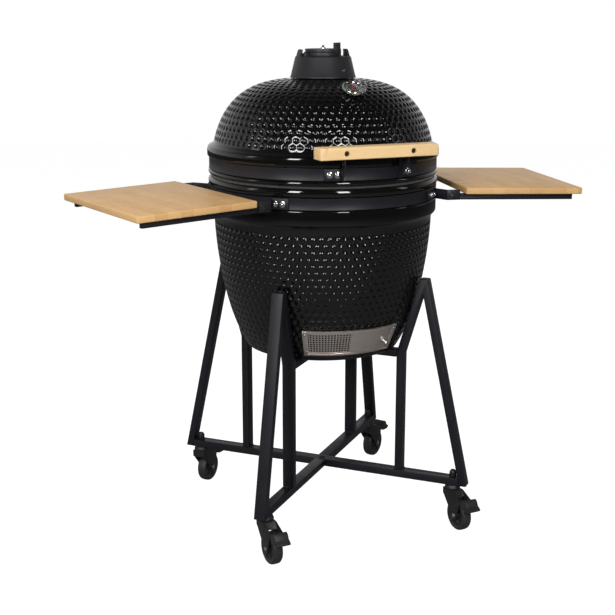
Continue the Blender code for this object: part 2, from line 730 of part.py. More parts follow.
def handle_bracket(parent, name, steel):
    """Right bracket: a plate on the lid band, a radial fin with a window, and a plate behind the bar."""
    low, high = LID_BAND_Z
    z_range = (low + 0.0008, high - 0.0008)
    fin_angle, end_angle = HANDLE_FIN_AZIMUTH, HANDLE_FLANGE_AZIMUTH
    foot = BAND_RADIUS + GAP + 0.0002
    under_bar, top = HANDLE_Z[0] - 0.001, HANDLE_Z[1] - 0.004
    back_y = HANDLE_Y[1] + GAP
    behind_bar = -back_y / cos(radians(fin_angle)) - 0.0012
    off_bulge = BULGE_RADIUS + 0.003
    fin = outline_prism(
        [
            (foot, z_range[0]), (foot + 0.012, z_range[0]), (HANDLE_FIN_RADIUS, under_bar - 0.012),
            (HANDLE_FIN_RADIUS, under_bar), (behind_bar, under_bar), (behind_bar, top),
            (off_bulge, top), (off_bulge, BULGE_Z), (foot + 0.003, z_range[1]), (foot, z_range[1]),
        ],
        0.0002,
        HANDLE_PLATE,
    )
    window = outline_prism(
        [
            (off_bulge + 0.005, BULGE_Z - 0.008), (HANDLE_FIN_RADIUS - 0.008, under_bar - 0.009),
            (HANDLE_FIN_RADIUS - 0.008, under_bar - 0.004), (off_bulge + 0.005, under_bar - 0.004),
        ],
        -0.004,
        HANDLE_PLATE + 0.004,
    )
    plate = box(
        (HANDLE_SCREW_X - 0.012, back_y, HANDLE_Z[0] + 0.001),
        (HANDLE_SCREW_X + 0.012, back_y + HANDLE_PLATE, HANDLE_Z[1] - 0.003),
    )
    screw_hole = cylinder(
        HANDLE_SCREW_RADIUS + PIN_CLEARANCE,
        (HANDLE_SCREW_X, HANDLE_Y[0], handle_mid_z()),
        (HANDLE_SCREW_X, HANDLE_Y[1] + 0.02, handle_mid_z()),
        12,
    )
    shapes = [
        flange((fin_angle, end_angle), z_range),
        moved(fin, radial_frame(fin_angle)),
        plate,
        moved(window, radial_frame(fin_angle)),
        screw_hole,
    ]
    if name == "left":
        shapes = [mirrored(shape) for shape in shapes]
    body, fin, plate, window, screw_hole = shapes
    add(f"handle_bracket_{name}", body, steel, parent, unions=[fin, plate], cuts=[window, screw_hole])


def handle_mid_z():
    return sum(HANDLE_Z) / 2


def handle_screw(side):
    x, z = side * HANDLE_SCREW_X, handle_mid_z()
    head_y, end_y = HANDLE_Y[0] + 0.0035, HANDLE_Y[1] + HANDLE_PLATE + 0.004
    return [
        cylinder(HANDLE_SCREW_HEAD, (x, head_y, z), (x, head_y + 0.003, z), 14),
        cylinder(HANDLE_SCREW_RADIUS, (x, head_y + 0.001, z), (x, end_y, z), 12),
    ]


def handle(parent, bamboo, steel):
    low = (-HANDLE_HALF_LENGTH, HANDLE_Y[0], HANDLE_Z[0])
    bar = box(low, (HANDLE_HALF_LENGTH, HANDLE_Y[1], HANDLE_Z[1]))
    bmesh.ops.bevel(
        bar, geom=list(bar.edges), offset=0.003, segments=2, profile=0.5, affect="EDGES", material=-1
    )
    z = handle_mid_z()
    cuts = []
    for side in (-1, 1):
        x = side * HANDLE_SCREW_X
        sink = HANDLE_Y[0] + 0.0035 + 0.003 + GAP
        cuts.append(cylinder(HANDLE_SCREW_HEAD + GAP * 2, (x, HANDLE_Y[0] - 0.01, z), (x, sink, z), 14))
        cuts.append(
            cylinder(HANDLE_SCREW_RADIUS + PIN_CLEARANCE, (x, HANDLE_Y[0], z), (x, HANDLE_Y[1] + 0.01, z), 12)
        )
    add("handle_bar", bar, bamboo, parent, cuts=cuts)
    for name, side in (("left", -1), ("right", 1)):
        head, shank = handle_screw(side)
        add(f"handle_screw_{name}", head, steel, parent, unions=[shank])
        handle_bracket(parent, name, steel)


# ---------------------------------------------------------------- rear hinge


def hinge_ear(inner_x, foot_low, foot_high):
    """A plate from a band to its eye round the pin, in the Y, Z plane."""
    foot_y = sqrt((BAND_RADIUS + GAP + 0.0012) ** 2 - inner_x**2)
    steps = 10
    up = atan2(HINGE_Z - (foot_low + foot_high) / 2, HINGE_Y - foot_y)
    arc = [
        (HINGE_Y + HINGE_EYE_RADIUS * cos(a), HINGE_Z + HINGE_EYE_RADIUS * sin(a))
        for a in spread(up - 0.55 * pi, up + 0.55 * pi, steps)
    ]
    points = [(foot_y, foot_high), (foot_y, foot_low)] + arc
    ear = outline_prism(points, -inner_x - HINGE_EAR, -inner_x)
    return moved(ear, Matrix.Rotation(pi / 2, 4, "Z"))


def hinge_bracket(z_range, ear_x):
    low, high = z_range[0] + 0.0008, z_range[1] - 0.0008
    body = flange((180 - HINGE_FLANGE_ANGLE, 180 + HINGE_FLANGE_ANGLE), (low, high))
    ears = [hinge_ear(ear_x, low + 0.0004, high - 0.0004)]
    ears.append(mirrored(ears[0]))
    reach = HINGE_PIN_HALF_LENGTH + 0.02
    bore = cylinder(
        HINGE_PIN_RADIUS + PIN_CLEARANCE, (-reach, HINGE_Y, HINGE_Z), (reach, HINGE_Y, HINGE_Z), 16
    )
    return body, ears, bore


def helix_tube(side):
    """One torsion spring wound on the pin."""
    first, last = SPRING_X
    per_turn, sides = 12, 5
    rings = []
    bm = bmesh.new()
    count = SPRING_TURNS * per_turn
    for i in range(count + 1):
        a = 2 * pi * i / per_turn
        x = first + (last - first) * i / count
        centre = Vector((side * x, HINGE_Y + SPRING_COIL * cos(a), HINGE_Z + SPRING_COIL * sin(a)))
        out = Vector((0, cos(a), sin(a)))
        ring = []
        for k in range(sides):
            b = 2 * pi * k / sides
            ring.append(bm.verts.new(centre + (out * cos(b) + Vector((1, 0, 0)) * sin(b)) * SPRING_WIRE))
        rings.append(ring)
    for one, two in zip(rings, rings[1:]):
        for k in range(sides):
            bm.faces.new((one[k], one[k - 1], two[k - 1], two[k]))
    bm.faces.new(rings[0])
    bm.faces.new(rings[-1])
    bmesh.ops.recalc_face_normals(bm, faces=list(bm.faces))
    return bm


def rear_hinge(lid_parent, steel, bright):
    body, ears, bore = hinge_bracket(BASE_BAND_Z, HINGE_BASE_EAR_X)
    add("hinge_base_bracket", body, steel, unions=ears, cuts=[bore])
    body, ears, bore = hinge_bracket(LID_BAND_Z, HINGE_LID_EAR_X)
    add("hinge_lid_bracket", body, steel, lid_parent, unions=ears, cuts=[bore])
    half = HINGE_PIN_HALF_LENGTH
    pin = cylinder(HINGE_PIN_RADIUS, (-half, HINGE_Y, HINGE_Z), (half, HINGE_Y, HINGE_Z), 16)
    heads = [
        cylinder(
            HINGE_PIN_RADIUS * 1.8,
            (side * (half - 0.0005), HINGE_Y, HINGE_Z),
            (side * (half + 0.004), HINGE_Y, HINGE_Z),
            6,
        )
        for side in (-1, 1)
    ]
    add("hinge_pin", pin, bright, unions=heads)
    add("hinge_spring_left", helix_tube(-1), bright)
    add("hinge_spring_right", helix_tube(1), bright)


# ---------------------------------------------------------------- side shelves


def arm_z():
    high = SHELF_TOP_Z - SHELF_THICKNESS - GAP
    return high - ARM_HEIGHT, high


def shelf_pivot():
    return SHELF_PIVOT_U, sum(arm_z()) / 2


def shelf_parts():
    """Board and two arms of the right shelf, level, in the shelf's own directions."""
    top = SHELF_TOP_Z
    board = box(
        (SHELF_INNER, -SHELF_HALF_DEPTH, top - SHELF_THICKNESS), (SHELF_OUTER, SHELF_HALF_DEPTH, top)
    )
    bmesh.ops.bevel(
        board, geom=list(board.edges), offset=0.0015, segments=1, profile=0.5, affect="EDGES", material=-1
    )
    low, high = arm_z()
    u, w = shelf_pivot()
    shapes = {"board": (board, [])}
    for name, side in (("front", -1), ("rear", 1)):
        y0, y1 = sorted((side * ARM_OUTBOARD, side * (ARM_OUTBOARD - ARM_WIDTH)))
        arm = box((ARM_ENDS[0], y0, low), (ARM_ENDS[1], y1, high))
        hole_radius = (SHELF_PIN_RADIUS + PIN_CLEARANCE) / cos(pi / 12)
        hole = cylinder(hole_radius, (u, y0 - 0.01, w), (u, y1 + 0.01, w), 12)
        shapes[f"arm_{name}"] = (arm, [hole])
    return shapes


def shelf_bracket(side):
    """Band flange, bent plate and rivet of the right shelf's front (-1) or rear (1) bracket."""
    low, high = BRACKET_Z
    first, last = BRACKET_FLANGE_ANGLES
    centre = 90.0 - SHELF_SWEEP
    angles = sorted((centre + side * first, centre + side * last))
    body = flange(angles, (low, high))
    radius = BAND_RADIUS + GAP + 0.0001
    outer = radius + BRACKET_PLATE
    a = radians(first)
    b = radians(first + degrees(BRACKET_PLATE / BAND_RADIUS))
    inboard = ARM_OUTBOARD + GAP
    bend = ARM_ENDS[0] - 0.006
    plan = [
        (radius * cos(a), radius * sin(a)),
        (bend, inboard),
        (BRACKET_END, inboard),
        (BRACKET_END, inboard + BRACKET_PLATE),
        (bend - 0.001, inboard + BRACKET_PLATE),
        (outer * cos(b) - 0.0004, outer * sin(b)),
        (radius * cos(b), radius * sin(b)),
    ]
    if side < 0:
        plan = [(x, -y) for x, y in plan]
    plate = upright_prism(plan, [range(len(plan))], low + 0.0002, high - 0.0002)
    u, w = shelf_pivot()
    y0 = side * (ARM_OUTBOARD - ARM_WIDTH + 0.001)
    y1 = side * (inboard + BRACKET_PLATE + 0.0015)
    rivet = cylinder(SHELF_PIN_RADIUS, (u, y0, w), (u, y1, w), 12)
    frame = shelf_frame()
    return body, [moved(plate, frame), moved(rivet, frame)]


def shelves(pivots, bamboo, steel):
    u, w = shelf_pivot()
    droop = (
        Matrix.Translation((u, 0, w))
        @ Matrix.Rotation(radians(SHELF_DROOP), 4, "Y")
        @ Matrix.Translation((-u, 0, -w))
    )
    for name in ("left", "right"):
        for part, (shape, cuts) in shelf_parts().items():
            place = shelf_frame() @ droop
            moved(shape, place)
            cuts = [moved(cut, place) for cut in cuts]
            if name == "left":
                shape, cuts = mirrored(shape), [mirrored(cut) for cut in cuts]
            surface = bamboo if part == "board" else steel
            add(f"shelf_{part}_{name}", shape, surface, pivots[name], cuts=cuts)
        for end, side in (("front", -1), ("rear", 1)):
            body, unions = shelf_bracket(side)
            if name == "left":
                body, unions = mirrored(body), [mirrored(piece) for piece in unions]
            add(f"shelf_bracket_{end}_{name}", body, steel, unions=unions)


# ---------------------------------------------------------------- stand


def leg_lines():
    """The leg's outer and inner faces as (radius, height) corner points."""
    bottom, top = Vector(LEG_BOTTOM), Vector(LEG_TOP)
    lean = (bottom.x - top.x) / (top.y - bottom.y)
    across = TUBE_THICKNESS * sqrt(1 + lean**2)
    return bottom, top, across


def leg_inner_face(z):
    bottom, top, across = leg_lines()
    return bottom.x - across + (top.x - bottom.x) * (z - bottom.y) / (top.y - bottom.y)


def bar_top():
    return LEG_BOTTOM[1] + TUBE_THICKNESS


def leg_frame(azimuth):
    """Slanted outer leg and bent inner leg, welded where they meet under the bowl's shoulder."""
    bottom, top, _ = leg_lines()
    half = TUBE_THICKNESS / 2
    foot_z = bar_top() + GAP
    inner_in, inner_out = INNER_LEG_RADIUS - half, INNER_LEG_RADIUS + half
    bend_in = Vector((inner_in, INNER_LEG_BEND_Z))
    top_in = Vector((INNER_LEG_TOP_RADIUS, top.y))
    lean = (top_in - bend_in).normalized()
    side = Vector((lean.y, -lean.x)) * TUBE_THICKNESS
    slope = (top_in.x - bend_in.x) / (top_in.y - bend_in.y)
    bend_out_z = bend_in.y + side.y + (inner_out - bend_in.x - side.x) / slope
    outer_low = Vector((leg_inner_face(bottom.y), bottom.y))
    outer_high = Vector((leg_inner_face(top.y), top.y))
    crotch = intersect_line_line_2d(outer_low, outer_high, bend_in + side, top_in + side * 1.0)
    points = [
        tuple(bottom), tuple(top), tuple(top_in), tuple(crotch), tuple(outer_low),
        tuple(bend_in), (inner_out, bend_out_z), (inner_in, foot_z), (inner_out, foot_z),
    ]
    faces = [(0, 1, 3, 4), (1, 2, 3), (2, 5, 6, 3), (5, 7, 8, 6)]
    shape = prism(points, faces, -TUBE_WIDTH / 2, TUBE_WIDTH / 2)
    return moved(shape, radial_frame(azimuth))


def stem_hole(azimuth):
    low, high = LEG_BOTTOM[1], bar_top()
    hole = cylinder(
        STEM_RADIUS + PIN_CLEARANCE,
        (STEM_RADIUS_FROM_AXIS, 0, low - 0.01),
        (STEM_RADIUS_FROM_AXIS, 0, high + 0.01),
        16,
    )
    return moved(hole, radial_frame(azimuth))


def base_bar(azimuth, start):
    low, high = LEG_BOTTOM[1], bar_top()
    ends = [(leg_inner_face(low) - GAP, low), (leg_inner_face(high) - GAP, high)]
    begin = [(start, high), (start, low)]
    if start < 0:
        begin = [(-ends[1][0], high), (-ends[0][0], low)]
    shape = outline_prism(ends + begin, -TUBE_WIDTH / 2, TUBE_WIDTH / 2)
    return moved(shape, radial_frame(azimuth))


def cradle():
    """Crossed bars between the inner legs, which the bowl stands on."""
    reach = INNER_LEG_RADIUS - TUBE_THICKNESS / 2 - GAP
    half = TUBE_WIDTH / 2
    high = BOWL_BOTTOM_Z - GAP
    low = high - CRADLE_BAR
    points = [(half, half), (-half, half), (-half, -half), (half, -half)]
    points += [(reach, half), (reach, -half), (-reach, half), (-reach, -half)]
    points += [(half, reach), (-half, reach), (half, -reach), (-half, -reach)]
    faces = [(0, 1, 2, 3), (4, 0, 3, 5), (1, 6, 7, 2), (8, 9, 1, 0), (3, 2, 11, 10)]
    bm = upright_prism(points, faces, low, high)
    return moved(bm, Matrix.Rotation(pi / 4, 4, "Z"))


def stand(steel):
    for name, (azimuth, _) in CASTERS.items():
        add(f"leg_frame_{name}", leg_frame(azimuth), steel)
    add("cradle_cross", cradle(), steel)
    front_right, front_left = CASTERS["front_right"][0], CASTERS["front_left"][0]
    rear_right, rear_left = CASTERS["rear_right"][0], CASTERS["rear_left"][0]
    beside = TUBE_WIDTH / 2 + GAP
    long_bar = base_bar(front_right, -1.0)
    add("base_bar_long", long_bar, steel, cuts=[stem_hole(front_right), stem_hole(rear_left)])
    add("base_bar_front_left", base_bar(front_left, beside), steel, cuts=[stem_hole(front_left)])
    add("base_bar_rear_right", base_bar(rear_right, beside), steel, cuts=[stem_hole(rear_right)])


# ---------------------------------------------------------------- casters


def caster_place(azimuth, heading):
    """Caster's own directions: x along the trail, y along the axle, z up, origin under the stem."""
    at = radial_frame(azimuth) @ Vector((STEM_RADIUS_FROM_AXIS, 0, 0))
    return Matrix.Translation(at) @ radial_frame(heading)


def fork_shapes():
    """Stem with its cap nut, swivel races, crown and two cheeks with a riveted axle."""
    bar_low, top = LEG_BOTTOM[1], bar_top()
    nut_low = top + GAP
    nut_high = top + CAP_NUT_HEIGHT
    race = bar_low - GAP
    stem = [
        (0, race - 0.012), (STEM_RADIUS, race - 0.012), (STEM_RADIUS, nut_low),
        (CAP_NUT_RADIUS, nut_low), (CAP_NUT_RADIUS, nut_high - 0.006),
        (CAP_NUT_RADIUS * 0.6, nut_high - 0.001), (0, nut_high),
    ]
    races = [
        (0, race - 0.011), (RACE_RADIUS - 0.001, race - 0.011), (RACE_RADIUS, race - 0.007),
        (RACE_RADIUS - 0.003, race), (0, race),
    ]
    outer = FORK_INNER + FORK_CHEEK
    crown_low = WHEEL_RADIUS * 2 + 0.0035
    crown = outline_prism(
        [
            (-0.0165, crown_low), (0.020, crown_low), (0.030, crown_low + 0.002),
            (0.020, race - 0.0105), (-0.016, race - 0.0105),
        ],
        -outer + 0.0002,
        outer - 0.0002,
    )
    axle_x, axle_z = CASTER_TRAIL, WHEEL_RADIUS
    cheek_outline = [
        (-0.0170, race - 0.0108), (-0.0165, race - 0.024), (axle_x - 0.013, axle_z + 0.004),
        (axle_x - 0.009, axle_z - 0.009), (axle_x + 0.001, axle_z - 0.012), (axle_x + 0.010, axle_z - 0.008),
        (axle_x + 0.0135, axle_z + 0.004), (axle_x + 0.0200, PEDAL_PIVOT[1] - 0.006),
        (PEDAL_PIVOT[0] + 0.0047, PEDAL_PIVOT[1] - 0.0042),
        (PEDAL_PIVOT[0] + 0.0047, PEDAL_PIVOT[1] + 0.0042),
        (0.034, race - 0.016), (0.021, race - 0.0108),
    ]
    cheeks = [
        outline_prism(cheek_outline, low, low + FORK_CHEEK) for low in (FORK_INNER, -FORK_INNER - FORK_CHEEK)
    ]
    end = outer + 0.0012
    axle = cylinder(AXLE_RADIUS, (axle_x, -end, axle_z), (axle_x, end, axle_z), 12)
    unions = [turned(races, 16, closed=False), crown, *cheeks, axle]
    hole_radius = (PEDAL_PIN_RADIUS + PIN_CLEARANCE) / cos(pi / 10)
    return turned(stem, 12, closed=False), unions, pedal_pin(hole_radius, outer + 0.01)


def pedal_pin(radius, reach):
    px, pz = PEDAL_PIVOT
    return cylinder(radius, (px, -reach, pz), (px, reach, pz), 10)


def wheel_shape():
    """Tyre and hub turned about the axle, with its bore."""
    half = WHEEL_WIDTH / 2
    bore = AXLE_RADIUS + WHEEL_BORE_CLEARANCE
    rim = WHEEL_RADIUS
    profile = [
        (bore, -half), (rim - 0.005, -half), (rim - 0.0012, -half + 0.003), (rim, -half + 0.007),
        (rim, half - 0.007), (rim - 0.0012, half - 0.003), (rim - 0.005, half), (bore, half),
    ]
    wheel = turned(profile, 24)
    turn = Matrix.Rotation(pi / 2, 4, "X")
    return moved(wheel, Matrix.Translation((CASTER_TRAIL, 0, WHEEL_RADIUS)) @ turn)


def pedal_shapes():
    """Rocker with a raised upper lobe (release) and a longer lower lobe (brake)."""
    px, pz = PEDAL_PIVOT
    half = PEDAL_HALF_WIDTH
    outline = [
        (px + 0.0065, pz - 0.007), (px + 0.012, pz - 0.011), (px + 0.030, pz - 0.0125),
        (px + 0.040, pz - 0.0105), (px + 0.0425, pz - 0.0065), (px + 0.039, pz - 0.0035),
        (px + 0.032, pz + 0.0005), (px + 0.029, pz + 0.008), (px + 0.0245, pz + 0.0125),
        (px + 0.020, pz + 0.014), (px + 0.0155, pz + 0.0115), (px + 0.0065, pz + 0.0065),
    ]
    body = outline_prism(outline, -half, half)
    tongue_half = FORK_INNER - 0.0006
    tongue = outline_prism(
        [
            (px - 0.005, pz - 0.004), (px + 0.009, pz - 0.0055),
            (px + 0.009, pz + 0.0055), (px - 0.005, pz + 0.004),
        ],
        -tongue_half,
        tongue_half,
    )
    return body, [tongue, pedal_pin(PEDAL_PIN_RADIUS, FORK_INNER + FORK_CHEEK)]


def casters(steel, rubber, plastic, pivots):
    for name, (azimuth, heading) in CASTERS.items():
        place = caster_place(azimuth, heading)
        stem, unions, pin_hole = fork_shapes()
        swivel, spin, rock = pivots[name]
        add(
            f"caster_fork_{name}", moved(stem, place), steel, swivel,
            unions=[moved(piece, place) for piece in unions], cuts=[moved(pin_hole, place)],
        )
        add(f"caster_wheel_{name}", moved(wheel_shape(), place), rubber, spin)
        body, unions = pedal_shapes()
        add(
            f"caster_brake_{name}", moved(body, place), plastic, rock,
            unions=[moved(piece, place) for piece in unions],
        )


def caster_pivots():
    made = {}
    for name, (azimuth, heading) in CASTERS.items():
        place = caster_place(azimuth, heading)
        made[name] = (
            pivot(f"{name}_swivel_axis", place @ Vector((0, 0, LEG_BOTTOM[1]))),
            pivot(f"{name}_axle_axis", place @ Vector((CASTER_TRAIL, 0, WHEEL_RADIUS))),
            pivot(f"{name}_pedal_axis", place @ Vector((PEDAL_PIVOT[0], 0, PEDAL_PIVOT[1]))),
        )
    return made


# ---------------------------------------------------------------- the whole grill


def build():
    clear_scene()
    glaze = finish("black_glaze", (0.012, 0.012, 0.013), 0.12)
    fire_clay = finish("fire_clay", (0.55, 0.47, 0.38), 0.85)
    steel = finish("black_steel", (0.02, 0.02, 0.023), 0.45)
    felt = finish("felt", (0.05, 0.05, 0.05), 0.95)
    iron = finish("cast_iron", (0.03, 0.03, 0.033), 0.6)
    bright = finish("zinc_steel", (0.6, 0.6, 0.6), 0.3, 1.0)
    stainless = finish("brushed_stainless", (0.55, 0.52, 0.49), 0.35, 1.0)
    chrome = finish("chrome", (0.8, 0.8, 0.8), 0.08, 1.0)
    lens = finish("lens_glass", (0.9, 0.95, 0.95), 0.02)
    red = finish("needle_red", (0.6, 0.03, 0.02), 0.4)
    bamboo = finish("bamboo", (0.68, 0.45, 0.22), 0.45)
    rubber = finish("caster_rubber", (0.02, 0.02, 0.02), 0.6)
    plastic = finish("pedal_plastic", (0.025, 0.025, 0.026), 0.5)

    lid_axis = pivot("lid_axis", (0, HINGE_Y, HINGE_Z))
    swing_axis = pivot("swing_axis", (SWING_PIVOT_X, 0, CHIMNEY_Z[1]))
    wheel_axis = pivot("daisy_axis", (0, 0, CHIMNEY_Z[1]))
    slide_axis = pivot("vent_slide_axis", (0, 0, VENT_Z[0]))
    needle_axis = pivot("needle_axis", thermometer_place()[0])
    u, w = shelf_pivot()
    right = shelf_frame() @ Vector((u, 0, w))
    shelf_axes = {
        "right": pivot("shelf_right_axis", right),
        "left": pivot("shelf_left_axis", (-right.x, right.y, right.z)),
    }

    stand(steel)
    egg(glaze, steel, felt)
    insides(fire_clay, iron, bright)
    draft_vent(stainless, slide_axis)
    rear_hinge(lid_axis, steel, bright)
    lid(lid_axis, glaze, steel, felt)
    handle(lid_axis, bamboo, steel)
    chimney_top(lid_axis, swing_axis, wheel_axis, iron, bright)
    thermometer(lid_axis, needle_axis, chrome, lens, red)
    shelves(shelf_axes, bamboo, steel)
    casters(steel, rubber, plastic, caster_pivots())


build()
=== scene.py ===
"""Kamado ceramic grill: the visible pieces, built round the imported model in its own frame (metres, +Z up)."""

import json
from math import cos, pi, radians, sin, sqrt

import bmesh
import bpy
from mathutils import Matrix, Vector


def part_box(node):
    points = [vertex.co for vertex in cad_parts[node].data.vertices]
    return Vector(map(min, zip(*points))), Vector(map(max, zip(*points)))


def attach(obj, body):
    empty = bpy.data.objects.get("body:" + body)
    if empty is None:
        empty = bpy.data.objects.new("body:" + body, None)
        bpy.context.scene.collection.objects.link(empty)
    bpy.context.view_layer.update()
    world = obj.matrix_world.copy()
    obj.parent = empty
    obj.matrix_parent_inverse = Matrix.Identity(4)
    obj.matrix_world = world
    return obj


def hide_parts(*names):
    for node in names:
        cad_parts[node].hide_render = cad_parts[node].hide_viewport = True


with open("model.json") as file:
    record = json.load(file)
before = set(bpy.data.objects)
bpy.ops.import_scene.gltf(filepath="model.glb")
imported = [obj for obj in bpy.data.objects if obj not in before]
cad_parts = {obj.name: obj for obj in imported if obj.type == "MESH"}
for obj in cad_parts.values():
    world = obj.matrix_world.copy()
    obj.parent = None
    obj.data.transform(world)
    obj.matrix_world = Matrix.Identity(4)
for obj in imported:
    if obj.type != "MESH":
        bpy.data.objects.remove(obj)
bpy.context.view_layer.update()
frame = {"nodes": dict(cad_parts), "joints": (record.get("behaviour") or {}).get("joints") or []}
bare = frame["nodes"]
joints = {joint["name"]: joint for joint in frame["joints"]}

# ---------------------------------------------------------------- stand
# Four leg frames, three base bars and the cross that carries the bowl, all of flat-sided steel tube.
# They are cut, bent and welded, so their long edges have a small rolled radius, and then powder coated.

TUBE_EDGE = 0.0022
LEGS = ("front_left", "front_right", "rear_left", "rear_right")


def add_node(tree, kind, inputs=(), **settings):
    made = tree.nodes.new(kind)
    for key, value in settings.items():
        setattr(made, key, value)
    for key, value in dict(inputs).items():
        if isinstance(value, bpy.types.NodeSocket):
            tree.links.new(value, made.inputs[key])
        else:
            made.inputs[key].default_value = value
    return made


def noise(tree, place, scale, detail=2.0, roughness=0.5):
    """A cloudy value between 0 and 1."""
    inputs = {"Vector": place, "Scale": scale, "Detail": detail, "Roughness": roughness}
    return add_node(tree, "ShaderNodeTexNoise", inputs).outputs["Fac"]


def ranged(tree, value, low, high, first, last, **settings):
    """Takes the span from low to high to the span from first to last."""
    inputs = {"Value": value, 1: low, 2: high, 3: first, 4: last}
    return add_node(tree, "ShaderNodeMapRange", inputs, **settings).outputs["Result"]


def blended(tree, share, one, two):
    """A colour between two others."""
    inputs = {"Factor": share, 6: one, 7: two}
    return add_node(tree, "ShaderNodeMix", inputs, data_type="RGBA").outputs[2]


def sums(tree, operation, *values):
    return add_node(tree, "ShaderNodeMath", dict(enumerate(values)), operation=operation).outputs[0]


def bumped(tree, height, strength, distance):
    inputs = {"Height": height, "Strength": strength, "Distance": distance}
    return add_node(tree, "ShaderNodeBump", inputs).outputs["Normal"]


def finish(name, colour, roughness, metallic=0.0):
    """A new material: its node tree and its shader, with the plain values set."""
    made = bpy.data.materials.new(name)
    made.use_nodes = True
    shader = made.node_tree.nodes["Principled BSDF"]
    shader.inputs["Base Color"].default_value = (*colour, 1.0)
    shader.inputs["Roughness"].default_value = roughness
    shader.inputs["Metallic"].default_value = metallic
    return made, made.node_tree, shader


def new_group(name, inputs, outputs):
    group = bpy.data.node_groups.new(name, "ShaderNodeTree")
    for label, kind, value in inputs:
        socket = group.interface.new_socket(label, in_out="INPUT", socket_type=kind)
        socket.default_value = value
    for label, kind in outputs:
        group.interface.new_socket(label, in_out="OUTPUT", socket_type=kind)
    return group, group.nodes.new("NodeGroupInput").outputs, group.nodes.new("NodeGroupOutput").inputs


def take_surface(skin, tree, shader):
    """Feeds a surface group's colour, roughness and normal to the shader."""
    for output, socket in (("Colour", "Base Color"), ("Roughness", "Roughness"), ("Normal", "Normal")):
        tree.links.new(skin.outputs[output], shader.inputs[socket])


def sprayed_skin():
    """Fine unevenness of a coated, cast or moulded surface: its normal, its roughness and a soft mottle."""
    number, colour = "NodeSocketFloat", "NodeSocketColor"
    group, given, out = new_group(
        "Sprayed skin",
        [
            ("Grain", number, 600.0), ("Height", number, 0.1), ("Smooth", number, 0.3),
            ("Rough", number, 0.5), ("Patch", number, 14.0), ("Deep", colour, (0, 0, 0, 1)),
            ("Pale", colour, (1, 1, 1, 1)),
        ],
        [("Normal", "NodeSocketVector"), ("Roughness", number), ("Colour", colour)],
    )
    place = group.nodes.new("ShaderNodeTexCoord").outputs["Object"]
    grain = noise(group, place, given["Grain"], 3.0)
    patch = noise(group, place, given["Patch"], 6.0, 0.6)
    group.links.new(bumped(group, grain, given["Height"], 0.0006), out["Normal"])
    group.links.new(ranged(group, patch, 0.3, 0.7, given["Smooth"], given["Rough"]), out["Roughness"])
    group.links.new(blended(group, patch, given["Deep"], given["Pale"]), out["Colour"])
    return group


sprayed = sprayed_skin()


def coated(name, deep, pale, smooth, rough, grain, height, patch=14.0, metallic=0.0):
    """A material whose whole surface is one sprayed, cast or moulded skin."""
    made, tree, shader = finish(name, pale, rough, metallic)
    values = {"Grain": grain, "Height": height, "Smooth": smooth, "Rough": rough, "Patch": patch}
    values |= {"Deep": (*deep, 1.0), "Pale": (*pale, 1.0)}
    take_surface(add_node(tree, "ShaderNodeGroup", values, node_tree=sprayed), tree, shader)
    return made


def eased(bm, width, segments=2, angle=30.0):
    """Rounds every edge sharper than the angle."""
    sharp = [e for e in bm.edges if len(e.link_faces) == 2 and e.calc_face_angle(0.0) > radians(angle)]
    bmesh.ops.bevel(
        bm, geom=sharp, offset=width, segments=segments, affect="EDGES", profile=0.5, material=-1,
        clamp_overlap=True,
    )
    return bm


def dressed(node, width, segments=2, angle=30.0):
    """A bare solid's shape as one skin, with its edges rounded."""
    bm = bmesh.new()
    bm.from_mesh(bare[node].data)
    bmesh.ops.remove_doubles(bm, verts=bm.verts, dist=2e-6)
    bmesh.ops.dissolve_limit(bm, angle_limit=radians(0.6), verts=bm.verts, edges=bm.edges)
    return eased(bm, width, segments, angle)


def piece(name, bm, surface, body, replaced=(), smooth=35.0):
    """Makes the object, gives it its material and says what it rides on and stands for."""
    mesh = bpy.data.meshes.new(name)
    bm.to_mesh(mesh)
    bm.free()
    mesh.materials.append(surface)
    mesh.shade_smooth()
    mesh.set_sharp_from_angle(angle=radians(smooth))
    made = bpy.data.objects.new(name, mesh)
    bpy.context.scene.collection.objects.link(made)
    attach(made, body)
    if replaced:
        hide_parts(*replaced)
    return made


powder_coat = coated(
    "Black powder coat", (0.0055, 0.0055, 0.0085), (0.0105, 0.0105, 0.0155), 0.40, 0.54, 1100.0, 0.10
)
powder_coat.node_tree.nodes["Principled BSDF"].inputs["Specular IOR Level"].default_value = 0.36
for leg in LEGS:
    node = f"leg_frame_{leg}"
    piece(f"tube_{node}", dressed(node, TUBE_EDGE, 3), powder_coat, "grill_base", [node])
for node in ("base_bar_long", "base_bar_front_left", "base_bar_rear_right", "cradle_cross"):
    piece(f"tube_{node}", dressed(node, TUBE_EDGE, 3), powder_coat, "grill_base", [node])

# Weld beads where each inner leg stands on its base bar and the cradle bar meets the leg, and the bolt
# with its nut that pulls the three base bars together where they cross.

BEAD_RADIUS = 0.0022
BEAD_RIPPLE = 0.0005
BEAD_PITCH = 0.004
TUBE_HALF = 0.014
INNER_LEG_RADIUS, INNER_LEG_HALF = 0.206, 0.009


def azimuth_frame(degrees, z=0.0):
    """Local x outwards at the azimuth, counted from the front towards +X, y along the tangent."""
    a = radians(degrees)
    return Matrix(((sin(a), cos(a), 0, 0), (-cos(a), sin(a), 0, 0), (0, 0, 1, z), (0, 0, 0, 1)))


def round_bar(radius, start, end, segments=24, tip=None):
    """A closed bar between two points, tapered where a tip radius is given."""
    bm = bmesh.new()
    start, end = Vector(start), Vector(end)
    turn = Vector((0, 0, 1)).rotation_difference(end - start).to_matrix().to_4x4()
    bmesh.ops.create_cone(
        bm, cap_ends=True, segments=segments, radius1=radius, radius2=radius if tip is None else tip,
        depth=(end - start).length, matrix=Matrix.Translation((start + end) / 2) @ turn,
    )
    return bm


